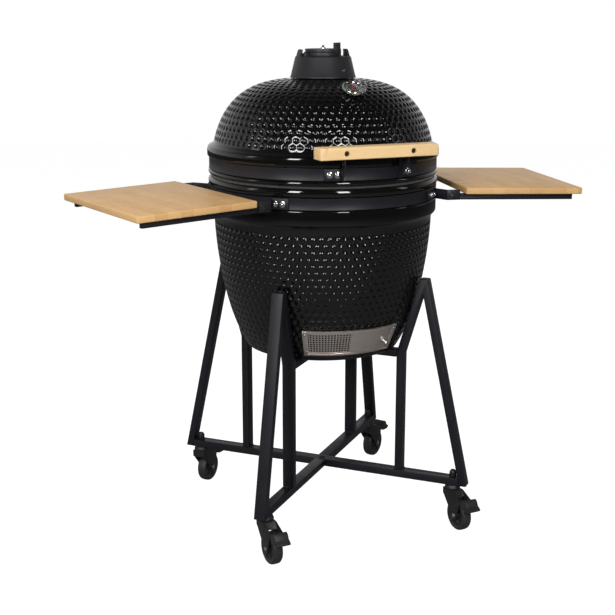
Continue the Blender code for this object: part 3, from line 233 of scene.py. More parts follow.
def gathered(*shapes):
    """Several closed shapes in one mesh."""
    whole = bmesh.new()
    for shape in shapes:
        mesh = bpy.data.meshes.new("shape")
        shape.to_mesh(mesh)
        shape.free()
        whole.from_mesh(mesh)
        bpy.data.meshes.remove(mesh)
    return whole


def placed(bm, matrix):
    bmesh.ops.transform(bm, matrix=matrix, verts=bm.verts)
    if matrix.determinant() < 0:
        bmesh.ops.reverse_faces(bm, faces=bm.faces)
    return bm


def weld_bead(start, end):
    """A rippled bead laid along a seam."""
    start, end = Vector(start), Vector(end)
    bm = round_bar(BEAD_RADIUS, start, end, 8)
    along = (end - start).normalized()
    sides = [e for e in bm.edges if abs((e.verts[0].co - e.verts[1].co).normalized().dot(along)) > 0.9]
    bmesh.ops.subdivide_edges(bm, edges=sides, cuts=13)
    for vert in bm.verts:
        reach = (vert.co - start).dot(along)
        away = vert.co - start - along * reach
        vert.co += away.normalized() * BEAD_RIPPLE * sin(reach * 2 * pi / BEAD_PITCH)
    return bm


bar_top_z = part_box("base_bar_long")[1].z
cradle_top_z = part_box("cradle_cross")[1].z
inner_x, outer_x = INNER_LEG_RADIUS - INNER_LEG_HALF, INNER_LEG_RADIUS + INNER_LEG_HALF
bead_end = TUBE_HALF - 0.002
for leg, degrees in zip(LEGS, (-45, 45, -135, 135)):
    beads = [
        weld_bead((x, -bead_end, z), (x, bead_end, z))
        for x, z in ((inner_x, bar_top_z), (outer_x, bar_top_z), (inner_x, cradle_top_z))
    ]
    seams = placed(gathered(*beads), azimuth_frame(degrees))
    piece(f"weld_{leg}", seams, powder_coat, "grill_base", smooth=60)

bar_low_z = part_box("base_bar_long")[0].z
cross_bolt = gathered(
    eased(round_bar(0.008, (0, 0, bar_low_z - 0.0055), (0, 0, bar_low_z + 0.001), 6), 0.0006),
    eased(round_bar(0.0038, (0, 0, bar_low_z - 0.009), (0, 0, bar_low_z - 0.005), 16), 0.0006),
    eased(round_bar(0.009, (0, 0, bar_top_z - 0.001), (0, 0, bar_top_z + 0.0035), 32, 0.005), 0.0008),
)
piece("cross_bolt", cross_bolt, powder_coat, "grill_base")

# ---------------------------------------------------------------- casters
# Swivel casters under the leg feet: a pressed black fork with a ball race, a soft tread moulded round
# a ribbed plastic hub, a riveted axle, and a rocker pedal that jams the wheel.

WHEEL_RADIUS = 0.0375
TREAD_HALF = 0.012
HUB_RADIUS = 0.0265
SPOKES = 6
PEDAL_RIBS, PEDAL_RIB_SIZE = 4, (0.0016, 0.029, 0.0018)
PEDAL_LEAN = 48


def turned(points, steps=96, closed=True):
    """Turns (radius, height) points about Z into one closed skin."""
    bm = bmesh.new()
    verts = [bm.verts.new((0.0, -r, z)) for r, z in points]
    pairs = list(zip(verts, verts[1:]))
    if closed:
        pairs.append((verts[-1], verts[0]))
    edges = [bm.edges.new(pair) for pair in pairs]
    bmesh.ops.spin(bm, geom=verts + edges, axis=(0, 0, 1), steps=steps, angle=2 * pi, use_merge=True)
    bmesh.ops.remove_doubles(bm, verts=bm.verts, dist=1e-6)
    bmesh.ops.recalc_face_normals(bm, faces=bm.faces)
    return bm


def caster_frame(name):
    """The caster's own directions at its axle: x along the trail, y along the axle, z up."""
    joint = joints[f"wheel_spin_{name}"]
    axle = Vector(joint["axis"]).normalized()
    up = Vector((0, 0, 1))
    trail = axle.cross(up)
    turn = Matrix((trail, axle, up)).transposed().to_4x4()
    return Matrix.Translation(Vector(joint["pos_m"])) @ turn


def tyre_shape():
    r, w = WHEEL_RADIUS, TREAD_HALF
    profile = [
        (HUB_RADIUS, -w + 0.0015), (r - 0.006, -w), (r - 0.0028, -w + 0.0010), (r - 0.0010, -w + 0.0030),
        (r - 0.0002, -w + 0.0060), (r, -w + 0.009), (r, w - 0.009), (r - 0.0002, w - 0.0060),
        (r - 0.0010, w - 0.0030), (r - 0.0028, w - 0.0010), (r - 0.006, w), (HUB_RADIUS, w - 0.0015),
    ]
    return eased(turned(profile, 72), 0.0006, 2, 40)


def hub_shape():
    """Hub disc with a raised boss and spoke ribs on both faces."""
    r, w = HUB_RADIUS + 0.0002, TREAD_HALF
    profile = [
        (0.0044, -w + 0.0004), (0.010, -w + 0.0004), (0.0115, -w + 0.0045), (r - 0.0035, -w + 0.0045),
        (r - 0.0025, -w + 0.0012), (r, -w + 0.0012), (r, w - 0.0012), (r - 0.0025, w - 0.0012),
        (r - 0.0035, w - 0.0045), (0.0115, w - 0.0045), (0.010, w - 0.0004), (0.0044, w - 0.0004),
    ]
    disc = eased(turned(profile, 48), 0.0004, 2, 35)
    ribs = []
    for i in range(SPOKES):
        rib = bmesh.new()
        bmesh.ops.create_cube(rib, size=1.0, matrix=Matrix.Diagonal((0.0125, 0.0022, 2 * w - 0.0036, 1)))
        bmesh.ops.translate(rib, verts=rib.verts, vec=(0.0168, 0, 0))
        ribs.append(placed(eased(rib, 0.0004, 1), Matrix.Rotation(2 * pi * i / SPOKES, 4, "Z")))
    return gathered(disc, *ribs)


fork_black = coated(
    "Black fork enamel", (0.005, 0.005, 0.005), (0.012, 0.012, 0.012), 0.44, 0.60, 700.0, 0.14
)
tread_rubber = coated(
    "Caster rubber", (0.013, 0.012, 0.012), (0.038, 0.034, 0.032), 0.40, 0.58, 420.0, 0.20, 30.0
)
moulded_black = coated(
    "Moulded pedal plastic", (0.010, 0.010, 0.010), (0.024, 0.024, 0.024), 0.38, 0.55, 900.0, 0.25
)
rivet_zinc = coated(
    "Zinc rivets", (0.42, 0.42, 0.43), (0.66, 0.66, 0.67), 0.20, 0.38, 500.0, 0.06, 60.0, 1.0
)

flat_wheel = Matrix.Rotation(pi / 2, 4, "X")
for leg in LEGS:
    place = caster_frame(leg)
    body = f"caster_{leg}"
    fork = f"caster_fork_{leg}"
    piece(f"fork_{leg}", dressed(fork, 0.0007, 2, 25), fork_black, body, [fork])
    tyre = placed(tyre_shape(), place @ flat_wheel)
    piece(f"tyre_{leg}", tyre, tread_rubber, f"wheel_{leg}", [f"caster_wheel_{leg}"])
    hub = placed(hub_shape(), place @ flat_wheel)
    piece(f"hub_{leg}", hub, moulded_black, f"wheel_{leg}")
    rivets = [
        placed(eased(round_bar(0.0052, (0, side * 0.0163, 0), (0, side * 0.0178, 0), 24), 0.0007, 2), place)
        for side in (-1, 1)
    ]
    piece(f"axle_rivets_{leg}", gathered(*rivets), rivet_zinc, body)
    pedal, rocker = f"caster_brake_{leg}", f"brake_{leg}"
    piece(f"pedal_{leg}", dressed(pedal, 0.0022, 3, 25), moulded_black, rocker, [pedal])
    ribs = []
    for i in range(PEDAL_RIBS):
        rib = bmesh.new()
        bmesh.ops.create_cube(rib, size=1.0, matrix=Matrix.Diagonal((*PEDAL_RIB_SIZE, 1)))
        at = Matrix.Translation((0.0535 + 0.0024 * i, 0, 0.0378 - 0.0021 * i))
        lean = Matrix.Rotation(radians(PEDAL_LEAN), 4, "Y")
        ribs.append(placed(eased(rib, 0.0004, 1), place @ at @ lean))
    piece(f"pedal_ribs_{leg}", gathered(*ribs), moulded_black, rocker)

# ---------------------------------------------------------------- egg: bowl
# The bowl is cast ceramic, 22 mm thick. Staggered round dimples are pressed into the clay before a gloss
# black glaze is fired on, so each dimple is a small dished mirror. Its top has two rounded lips.

WALL = 0.022
BOWL_RADIUS, BOWL_TOP_Z, BOWL_DEPTH = 0.259, 0.7445, 0.3779
BOWL_LOW_Z = 0.430
LIP_RADIUS, SEAT_RADIUS, RIDGE_RADIUS = 0.2695, 0.2677, 0.2715
SHOULDER_Z, LIP_LOW_Z, LIP_HIGH_Z = 0.7495, 0.765, 0.780
RIM_INNER = 0.2445
base_band_z = [corner.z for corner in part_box("base_band")]
lid_band_z = [corner.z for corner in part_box("lid_band")]
base_rim_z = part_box("base_bowl")[1].z
lid_rim_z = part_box("dome_lid")[0].z
DIMPLE_PITCH = 0.0178
DIMPLE_ROW = 0.0156
DIMPLE_EDGE = 0.0096
DIMPLE_RADIUS = 0.0075
DIMPLE_DEPTH = 0.0032


def bowl_wall(z):
    share = max((BOWL_TOP_Z - z) / BOWL_DEPTH, 0.0)
    return BOWL_RADIUS * (1 - share**1.53) ** 0.25


def stepped(low, high, count):
    return [low + (high - low) * i / (count - 1) for i in range(count)]


def row_places(outline):
    """(radius, height) at the ends of an outline and at the dimple rows between them."""
    points = [Vector(point) for point in outline]
    reach = [0.0]
    for one, two in zip(points, points[1:]):
        reach.append(reach[-1] + (two - one).length)
    rows = round((reach[-1] - 2 * DIMPLE_EDGE) / DIMPLE_ROW)
    wanted = [0.0, *stepped(DIMPLE_EDGE, reach[-1] - DIMPLE_EDGE, rows + 1), reach[-1]]
    found = []
    for target in wanted:
        i = max(k for k in range(len(points) - 1) if reach[k] <= target + 1e-9)
        found.append(points[i].lerp(points[i + 1], (target - reach[i]) / (reach[i + 1] - reach[i])))
    return found


def dimpled_skin(outline):
    """Rings of points bridged to a net, each inner point opened to a hole's rim and dished."""
    bm = bmesh.new()
    places = row_places(outline)
    counts = [round(2 * pi * spot.x / DIMPLE_PITCH) for spot in places]
    counts[0], counts[-1] = counts[1], counts[-2]
    loops = []
    for row, (spot, count) in enumerate(zip(places, counts)):
        turn = Matrix.Rotation(pi + (row % 2) * pi / count, 4, "Z")
        ring = bmesh.ops.create_circle(
            bm, segments=count, radius=spot.x, matrix=Matrix.Translation((0, 0, spot.y)) @ turn
        )
        loops.append(list({edge for vert in ring["verts"] for edge in vert.link_edges}))
    for one, two in zip(loops, loops[1:]):
        bmesh.ops.bridge_loops(bm, edges=one + two)
    bmesh.ops.recalc_face_normals(bm, faces=bm.faces)
    bmesh.ops.triangulate(bm, faces=bm.faces, quad_method="SHORT_EDGE")
    crossing = [edge for edge in bm.edges if not edge.is_boundary]
    bmesh.ops.beautify_fill(bm, faces=bm.faces, edges=crossing, method="ANGLE")
    inner = [vert for vert in bm.verts if not vert.is_boundary]
    opened = bmesh.ops.bevel(
        bm, geom=inner, offset=DIMPLE_RADIUS, segments=1, affect="VERTICES", profile=0.5, material=-1,
        clamp_overlap=True,
    )
    rims = opened["faces"]
    bmesh.ops.inset_individual(bm, faces=rims, thickness=0.0021, depth=-DIMPLE_DEPTH * 0.55)
    bmesh.ops.poke(bm, faces=rims, offset=-DIMPLE_DEPTH * 0.5)
    return rounded_once(bm)


def rounded_once(bm):
    """One Catmull-Clark step, read back as a bmesh."""
    mesh = bpy.data.meshes.new("net")
    bm.to_mesh(mesh)
    bm.free()
    net = bpy.data.objects.new("net", mesh)
    bpy.context.scene.collection.objects.link(net)
    step = net.modifiers.new("round", "SUBSURF")
    step.levels = step.render_levels = 1
    bpy.context.view_layer.update()
    result = bmesh.new()
    result.from_object(net, bpy.context.evaluated_depsgraph_get())
    bpy.data.objects.remove(net)
    bpy.data.meshes.remove(mesh)
    return result


def open_rings(bm):
    """The open edge loops of a turned skin, lowest first."""
    edges = {edge for edge in bm.edges if edge.is_boundary}
    rings = []
    while edges:
        ring, front = [], [edges.pop()]
        while front:
            edge = front.pop()
            ring.append(edge)
            for vert in edge.verts:
                for other in vert.link_edges:
                    if other in edges:
                        edges.discard(other)
                        front.append(other)
        rings.append(ring)
    return sorted(rings, key=lambda ring: sum(edge.verts[0].co.z for edge in ring) / len(ring))


def joined_to_skin(skin, upper, lower=None):
    """Bridges the dimpled skin's rings to turned parts above and below it, which makes one closed body."""
    low_ring, high_ring = open_rings(skin)
    parts = [(upper, len(high_ring))] + ([(lower, len(low_ring))] if lower else [])
    meshes = []
    for points, steps in parts:
        part = turned(points, steps, closed=False)
        mesh = bpy.data.meshes.new("part")
        part.to_mesh(mesh)
        part.free()
        meshes.append(mesh)
    for mesh in meshes:
        skin.from_mesh(mesh)
        bpy.data.meshes.remove(mesh)
    rings = open_rings(skin)
    for one, two in zip(rings[::2], rings[1::2]):
        bmesh.ops.bridge_loops(skin, edges=one + two)
    bmesh.ops.recalc_face_normals(skin, faces=skin.faces)
    return skin


def lip(low, high, seat, peak, count=14):
    """A half-round lip between two heights, from the lower to the upper."""
    return [
        (seat + (peak - seat) * sqrt(max(1 - (2 * s - 1) ** 2, 0)), low + (high - low) * s)
        for s in (0.5 - 0.5 * cos(pi * t) for t in stepped(0.0, 1.0, count))
    ]


def arc(centre, radius, first, last, count=5):
    """Points on a quarter round of a turned outline, angles from the outward direction."""
    return [
        (centre[0] + radius * cos(radians(a)), centre[1] + radius * sin(radians(a)))
        for a in stepped(first, last, count)
    ]


black_glaze = coated(
    "Black glaze", (0.0022, 0.0022, 0.0024), (0.0042, 0.0042, 0.0045), 0.045, 0.085, 60.0, 0.02, 9.0
)
skin_gap = 0.0004
low_skin_z = BOWL_LOW_Z + 0.006
bowl_net = [(bowl_wall(z), z) for z in stepped(low_skin_z, BOWL_TOP_Z, 240)]
lips = [(bowl_wall(BOWL_TOP_Z + skin_gap), BOWL_TOP_Z + skin_gap), (BOWL_RADIUS, SHOULDER_Z)]
lips += arc((LIP_RADIUS - 0.008, LIP_LOW_Z), 0.008, -62, 0, 6)
lips += [(LIP_RADIUS, LIP_HIGH_Z)] + arc((LIP_RADIUS - 0.003, base_band_z[0] - 0.0045), 0.003, 0, 80, 5)
lips += [(SEAT_RADIUS - 0.001, base_band_z[0] - 0.001), (SEAT_RADIUS - 0.001, base_band_z[1] + 0.0004)]
lips += lip(base_band_z[1] + 0.0006, base_rim_z, SEAT_RADIUS - 0.002, RIDGE_RADIUS)
lips += [(RIM_INNER + 0.003, base_rim_z), (RIM_INNER, base_rim_z - 0.003)]
lips += [(bowl_wall(z) - WALL, z) for z in stepped(BOWL_TOP_Z, BOWL_LOW_Z + WALL + 0.012, 16)]
lips += [(bowl_wall(BOWL_LOW_Z + WALL) - 2 * WALL, BOWL_LOW_Z + WALL), (0.0, BOWL_LOW_Z + WALL)]
foot = [(0.0, BOWL_LOW_Z), (bowl_wall(BOWL_LOW_Z) - 0.004, BOWL_LOW_Z)]
foot += [(bowl_wall(z), z) for z in (BOWL_LOW_Z + 0.002, low_skin_z - skin_gap)]
bowl = joined_to_skin(dimpled_skin(bowl_net), lips, foot)
bowl_piece = piece("bowl_glazed", bowl, black_glaze, "grill_base", ["base_bowl"], 50)

# The air opening low on the front runs through the bowl and is cut before firing.

OPENING_ANGLES = (-28.0, 19.5)
OPENING_Z = (0.459, 0.487)


def wedge(inner, outer, low, high, first, last, steps=16):
    """A closed ring sector between two azimuths."""
    bm = bmesh.new()
    corners = [(inner, low), (outer, low), (outer, high), (inner, high)]
    face = bm.faces.new([bm.verts.new((0.0, -r, z)) for r, z in corners])
    bmesh.ops.rotate(bm, verts=bm.verts, matrix=Matrix.Rotation(radians(first), 3, "Z"))
    bmesh.ops.spin(bm, geom=[face], axis=(0, 0, 1), steps=steps, angle=radians(last - first))
    bmesh.ops.remove_doubles(bm, verts=bm.verts, dist=1e-6)
    bmesh.ops.recalc_face_normals(bm, faces=bm.faces)
    return bm


def cut_from(made, tool, smooth=50.0):
    """Takes the tool's shape out of a finished piece and leaves a plain mesh."""
    mesh = bpy.data.meshes.new("tool")
    tool.to_mesh(mesh)
    tool.free()
    cutter = bpy.data.objects.new("tool", mesh)
    bpy.context.scene.collection.objects.link(cutter)
    cut = made.modifiers.new("cut", "BOOLEAN")
    cut.operation, cut.solver, cut.object = "DIFFERENCE", "MANIFOLD", cutter
    bpy.context.view_layer.update()
    result = bmesh.new()
    result.from_object(made, bpy.context.evaluated_depsgraph_get())
    made.modifiers.clear()
    bmesh.ops.remove_doubles(result, verts=result.verts, dist=1e-6)
    result.to_mesh(made.data)
    result.free()
    made.data.shade_smooth()
    made.data.set_sharp_from_angle(angle=radians(smooth))
    bpy.data.objects.remove(cutter)
    bpy.data.meshes.remove(mesh)


cut_from(bowl_piece, wedge(0.08, 0.26, *OPENING_Z, *OPENING_ANGLES))

# ---------------------------------------------------------------- bands and gaskets
# Two rolled steel bands clamp the ceramic, each with folded edges and a satin black coat. Woven felt
# gaskets are glued to the two rims and meet when the lid is shut.

BAND_RADIUS = 0.270


def band_shape(z_range):
    """Flat band with a slightly turned-out hem at both edges."""
    low, high = z_range
    face, back = BAND_RADIUS, BAND_RADIUS - 0.002
    outline = [
        (back, low), (face - 0.0004, low), (face, low + 0.0006), (face, low + 0.0018),
        (face - 0.0005, low + 0.0030), (face - 0.0005, high - 0.0030), (face, high - 0.0018),
        (face, high - 0.0006), (face - 0.0004, high), (back, high),
    ]
    return turned(outline, 160)


def gasket_shape(node):
    low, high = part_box(node)
    inner, outer, r = RIM_INNER + 0.003, high.x, 0.0008
    outline = arc((outer - r, low.z + r), r, -90, 0) + arc((outer - r, high.z - r), r, 0, 90)
    outline += arc((inner + r, high.z - r), r, 90, 180) + arc((inner + r, low.z + r), r, 180, 270)
    return turned(outline, 160)


def felt_finish():
    made, tree, shader = finish("Black felt", (0.02, 0.02, 0.02), 0.95)
    place = tree.nodes.new("ShaderNodeTexCoord").outputs["Object"]
    hairs = noise(tree, place, 1800.0, 4.0)
    tone = blended(tree, hairs, (0.010, 0.010, 0.010, 1), (0.05, 0.048, 0.046, 1))
    tree.links.new(bumped(tree, hairs, 0.8, 0.0008), shader.inputs["Normal"])
    tree.links.new(tone, shader.inputs["Base Color"])
    shader.inputs["Sheen Weight"].default_value = 0.3
    return made


black_felt = felt_finish()
piece("band_base", band_shape(base_band_z), powder_coat, "grill_base", ["base_band"], 25)
piece("band_lid", band_shape(lid_band_z), powder_coat, "lid", ["lid_band"], 25)
piece("felt_base", gasket_shape("base_gasket"), black_felt, "grill_base", ["base_gasket"], 60)
piece("felt_lid", gasket_shape("lid_gasket"), black_felt, "lid", ["lid_gasket"], 60)

# ---------------------------------------------------------------- fire box, ring and grates
# Unglazed fire clay parts stand loose in the bowl. The charcoal grate is cast iron and the cooking grate
# polished steel bar, each laid on a ledge.

fire_clay = coated("Fire clay", (0.30, 0.24, 0.185), (0.52, 0.44, 0.35), 0.80, 0.95, 260.0, 0.55, 22.0)
grate_iron = coated("Grate iron", (0.016, 0.016, 0.017), (0.040, 0.038, 0.036), 0.50, 0.70, 520.0, 0.35, 26.0)
grate_steel = coated(
    "Grate steel", (0.36, 0.35, 0.34), (0.58, 0.57, 0.55), 0.22, 0.40, 380.0, 0.08, 40.0, 1.0
)
for node, surface, slot, width in (
    ("fire_box", fire_clay, "fire_clay", 0.0012),
    ("fire_ring", fire_clay, "fire_clay", 0.0018),
    ("charcoal_grate", grate_iron, "cast_iron", 0.0012),
    ("cooking_grate", grate_steel, "grate_steel", 0.0014),
):
    piece(f"loose_{node}", dressed(node, width, 2, 30), surface, "grill_base", [node])

# ---------------------------------------------------------------- draft vent
# A brushed stainless frame follows the bowl's curve. Its rolled rails hold a perforated screen and a
# blank door, which slide past each other, and its end plates are screwed through the ceramic.

VENT_Z = (0.4495, 0.513)
VENT_OFF = 0.0022
VENT_ANGLES = (-34.8, 26.3)
SCREEN_ANGLES = (-31.4, -3.4)
DOOR_ANGLES = (-5.1, 22.9)
DOOR_KNOB_ANGLE = 20.5
SLIDE_MARGIN = 0.0016
SCREEN_HOLES = (15, 8)
SCREEN_SPAN = (-30.2, -4.6)
HOLE_RADIUS = 0.0024


def vent_place(across, along):
    """A point on the conical vent: outwards from its back face, and up its slope from the lower edge."""
    low, high = VENT_Z
    start, end = Vector((bowl_wall(low) + VENT_OFF, low)), Vector((bowl_wall(high) + VENT_OFF, high))
    up = (end - start).normalized()
    at = start + up * along + Vector((up.y, -up.x)) * across
    return at.x, at.y


vent_slope = sqrt((bowl_wall(VENT_Z[1]) - bowl_wall(VENT_Z[0])) ** 2 + (VENT_Z[1] - VENT_Z[0]) ** 2)


def vent_sector(outline, first, last, steps):
    """Sweeps an outline of (outwards, up the slope) points round the bowl between two azimuths."""
    bm = bmesh.new()
    corners = [vent_place(*corner) for corner in outline]
    face = bm.faces.new([bm.verts.new((0.0, -r, z)) for r, z in corners])
    bmesh.ops.rotate(bm, verts=bm.verts, matrix=Matrix.Rotation(radians(first), 3, "Z"))
    bmesh.ops.spin(bm, geom=[face], axis=(0, 0, 1), steps=steps, angle=radians(last - first))
    bmesh.ops.remove_doubles(bm, verts=bm.verts, dist=1e-6)
    bmesh.ops.recalc_face_normals(bm, faces=bm.faces)
    return bm


def brushed_lines():
    """Fine lines left by a belt, along the horizontal: their normal, roughness and tone."""
    number, colour = "NodeSocketFloat", "NodeSocketColor"
    group, given, out = new_group(
        "Brushed lines",
        [
            ("Pitch", number, 2600.0), ("Depth", number, 0.15), ("Smooth", number, 0.25),
            ("Rough", number, 0.4), ("Deep", colour, (0.4, 0.4, 0.4, 1)),
            ("Pale", colour, (0.6, 0.6, 0.6, 1)),
        ],
        [("Normal", "NodeSocketVector"), ("Roughness", number), ("Colour", colour)],
    )
    place = group.nodes.new("ShaderNodeTexCoord").outputs["Object"]
    stretch = add_node(group, "ShaderNodeMapping", {"Vector": place, "Scale": (0.012, 0.012, 1.0)})
    lines = noise(group, stretch.outputs["Vector"], given["Pitch"], 4.0, 0.65)
    smudge = noise(group, place, 35.0, 4.0)
    group.links.new(bumped(group, lines, given["Depth"], 0.0003), out["Normal"])
    group.links.new(ranged(group, smudge, 0.3, 0.7, given["Smooth"], given["Rough"]), out["Roughness"])
    group.links.new(blended(group, lines, given["Deep"], given["Pale"]), out["Colour"])
    return group


brushed = brushed_lines()


def brushed_metal(name, deep, pale, smooth, rough, pitch, depth):
    made, tree, shader = finish(name, pale, rough, 1.0)
    values = {"Pitch": pitch, "Depth": depth, "Smooth": smooth, "Rough": rough}
    values |= {"Deep": (*deep, 1.0), "Pale": (*pale, 1.0)}
    take_surface(add_node(tree, "ShaderNodeGroup", values, node_tree=brushed), tree, shader)
    return made


stainless = brushed_metal(
    "Brushed stainless", (0.70, 0.61, 0.56), (0.95, 0.86, 0.80), 0.28, 0.42, 2600.0, 0.18
)
bright_steel = coated(
    "Bright cap nuts", (0.50, 0.50, 0.51), (0.78, 0.78, 0.79), 0.12, 0.26, 300.0, 0.04, 70.0, 1.0
)
top = vent_slope
left_end, right_end = VENT_ANGLES
strips_up = [
    vent_sector([(0, low), (0.0010, low), (0.0010, high), (0, high)], left_end, right_end, 48)
    for low, high in ((0.001, 0.0075), (top - 0.0075, top - 0.001))
]


def rail_shape(seat, away):
    """A rolled rail: the sheet's edge folded forward and down over the slide, rounded at both folds."""
    fold = [(0.0, 1.2), (0.3, 0.5), (1.0, 0.0), (4.0, 0.0), (4.9, 0.4), (5.2, 1.2), (5.2, 5.8)]
    fold += [(4.9, 6.1), (4.6, 5.8)]
    fold += [(4.6, 1.5), (4.4, 1.0), (3.9, 0.8), (1.4, 0.8), (1.1, 1.2), (1.0, 1.9), (0.0, 1.9)]
    return vent_sector([(x / 1000, seat + away * y / 1000) for x, y in fold], left_end, right_end, 48)


rails = [rail_shape(0.0, 1), rail_shape(top, -1)]
ends = []
for first, last in ((left_end - 0.3, left_end + 3.0), (right_end - 3.0, right_end + 0.3)):
    plate = [(0.0004, -0.0004), (0.0056, -0.0004), (0.0056, top + 0.0004), (0.0004, top + 0.0004)]
    ends.append(eased(vent_sector(plate, first, last, 5), 0.0010, 3))
piece(
    "vent_frame_rolled", gathered(*strips_up, *rails, *ends), stainless, "grill_base",
    ["vent_frame"], 30,
)


def vent_stud(degrees, height, out, radius, tall, segments=24, tip=None):
    r0, z0 = vent_place(out, height)
    r1, z1 = vent_place(out + tall, height)
    return placed(round_bar(radius, (r0, 0, z0), (r1, 0, z1), segments, tip), azimuth_frame(degrees))


screws = []
for degrees in (left_end + 1.3, right_end - 1.3):
    for height in (0.011, top - 0.010):
        screws.append(eased(vent_stud(degrees, height, 0.0052, 0.0036, 0.0022, 24, 0.0024), 0.0004))
piece("vent_screws", gathered(*screws), bright_steel, "grill_base")

# The screen is thin sheet with a grid of round punched holes, and its edges run in the rails.

screen_in, sheet = 0.0015, 0.0010
columns, rows = SCREEN_HOLES


def slide_outline(inner):
    """A slide's section: its sheet, from just over the lower rail's fold to just under the upper one's."""
    outer, low, high = inner + sheet, SLIDE_MARGIN, top - SLIDE_MARGIN
    return [(inner, low), (outer, low), (outer, high), (inner, high)]


screen_piece = piece(
    "vent_screen_punched", vent_sector(slide_outline(screen_in), *SCREEN_ANGLES, 24), stainless,
    "draft_screen", ["vent_screen"], 30,
)
punches = []
for degrees in stepped(*SCREEN_SPAN, columns):
    for height in stepped(0.0125, top - 0.0125, rows):
        punches.append(vent_stud(degrees, height, -0.002, HOLE_RADIUS, 0.006, 10))
cut_from(screen_piece, gathered(*punches), 30)

# The door is blank sheet with a riveted finger knob near its closing edge.

door_in = screen_in + sheet + 0.0005
door = eased(vent_sector(slide_outline(door_in), *DOOR_ANGLES, 30), 0.0003, 1)
piece("vent_door_blank", door, stainless, "draft_door", ["vent_door"], 30)
knob_height = top * 0.35
knob = gathered(
    eased(vent_stud(DOOR_KNOB_ANGLE, knob_height, door_in + 0.0006, 0.0040, 0.0065), 0.0006),
    eased(vent_stud(DOOR_KNOB_ANGLE, knob_height, door_in + 0.0066, 0.0055, 0.0056), 0.0014, 3),
)
piece("vent_door_knob", knob, bright_steel, "draft_door")

# ---------------------------------------------------------------- lid: dome
# The lid is the same dimpled, glazed ceramic. A smooth bulge stands above the band, and the crown has
# a hole for the chimney. The thermometer's stem passes through the dome wall.

DOME_RADIUS, DOME_BASE_Z, DOME_HEIGHT = 0.265, 0.850, 0.2172
DOME_START_Z = 0.9215
BULGE_RADIUS, BULGE_HIGH_Z = 0.2735, 0.9055
SHOULDER_ROUND_Z, CROWN_NET_RADIUS = 1.015, 0.0810
DOME_BREADTH_POWER, DOME_HEIGHT_POWER = 3.576, 2.165
CROWN_RADIUS = 0.0585
CHIMNEY_LOW_Z = 1.068


def dome_wall(z, inset=0.0):
    share = max((z - DOME_BASE_Z) / (DOME_HEIGHT - inset), 0.0)
    return (DOME_RADIUS - inset) * (1 - share**DOME_HEIGHT_POWER) ** (1 / DOME_BREADTH_POWER)


def dome_top(r, inset=0.0):
    share = (1 - (r / (DOME_RADIUS - inset)) ** DOME_BREADTH_POWER) ** (1 / DOME_HEIGHT_POWER)
    return DOME_BASE_Z + (DOME_HEIGHT - inset) * share


net_rim = CROWN_NET_RADIUS
dome_net = [(dome_wall(z), z) for z in stepped(DOME_START_Z, SHOULDER_ROUND_Z, 160)]
dome_net += [(r, dome_top(r)) for r in stepped(dome_wall(SHOULDER_ROUND_Z), net_rim, 160)[1:]]
inside = [(CROWN_RADIUS, dome_top(CROWN_RADIUS, WALL))]
inside += [(r, dome_top(r, WALL)) for r in stepped(0.08, 0.185, 8)]
inside += [(dome_wall(z, WALL), z) for z in stepped(0.985, 0.885, 12)]
inside += [(RIM_INNER, lid_rim_z + 0.003), (RIM_INNER + 0.003, lid_rim_z)]
skirt = lip(lid_rim_z, lid_band_z[0] - 0.0006, SEAT_RADIUS - 0.002, RIDGE_RADIUS)
skirt += [(SEAT_RADIUS - 0.001, lid_band_z[0] - 0.0004), (SEAT_RADIUS - 0.001, lid_band_z[1] + 0.0006)]
skirt += arc((BULGE_RADIUS - 0.004, lid_band_z[1] + 0.0048), 0.004, -80, 0, 5)
skirt += arc((BULGE_RADIUS - 0.010, BULGE_HIGH_Z), 0.010, 0, 68, 8)
start_radius = dome_wall(DOME_START_Z)
skirt += [(start_radius + 0.0012, DOME_START_Z - 0.0022), (start_radius, DOME_START_Z - skin_gap)]
crown = [(net_rim - skin_gap, dome_top(net_rim - skin_gap)), (0.070, dome_top(0.070))]
crown += [(CROWN_RADIUS + 0.002, dome_top(CROWN_RADIUS)), (CROWN_RADIUS, dome_top(CROWN_RADIUS) - 0.002)]
dome_skin = dimpled_skin(dome_net)
dome = joined_to_skin(dome_skin, crown + inside + skirt)
piece("dome_glazed", dome, black_glaze, "lid", ["dome_lid"], 50)

# ---------------------------------------------------------------- thermometer
# A chromed case screwed through the dome, with a rolled bezel round a glass lens, a printed dial with
# coloured heat zones and a red pointer on a coiled bimetal stem.

THERMO_RADIUS = 0.027
THERMO_DEPTH = 0.008
LENS_RADIUS = 0.0232
DIAL_HEIGHT = 0.0027
STEM_LENGTH = 0.065
DIAL_TICKS = 28
DIAL_ZONES = (
    (0.0, 0.22, "Dial white", (0.62, 0.61, 0.58)), (0.22, 0.48, "Dial yellow", (0.70, 0.46, 0.05)),
    (0.48, 0.72, "Dial green", (0.05, 0.28, 0.06)), (0.72, 1.0, "Dial red", (0.45, 0.015, 0.03)),
)
needle = joints["thermometer_needle_turn"]
dial_normal = -Vector(needle["axis"]).normalized()
dial_turn = Vector((0, 0, 1)).rotation_difference(dial_normal).to_matrix().to_4x4()
dial_place = Matrix.Translation(needle["pos_m"]) @ dial_turn
depth = THERMO_DEPTH
case = [(0.0, -STEM_LENGTH), (0.0022, -STEM_LENGTH), (0.0036, 0.002 - STEM_LENGTH), (0.004, -0.001)]
case += [(0.0092, -0.001), (0.0092, 0.0), (THERMO_RADIUS - 0.003, 0.0)]
case += arc((THERMO_RADIUS - 0.002, 0.002), 0.002, -80, 0, 5)
groove = THERMO_RADIUS - 0.0005
case += [(THERMO_RADIUS, 0.0036), (groove, 0.0039), (groove, 0.0044), (THERMO_RADIUS, 0.0047)]
case += arc((THERMO_RADIUS - 0.0018, depth - 0.0018), 0.0018, 0, 90, 7)
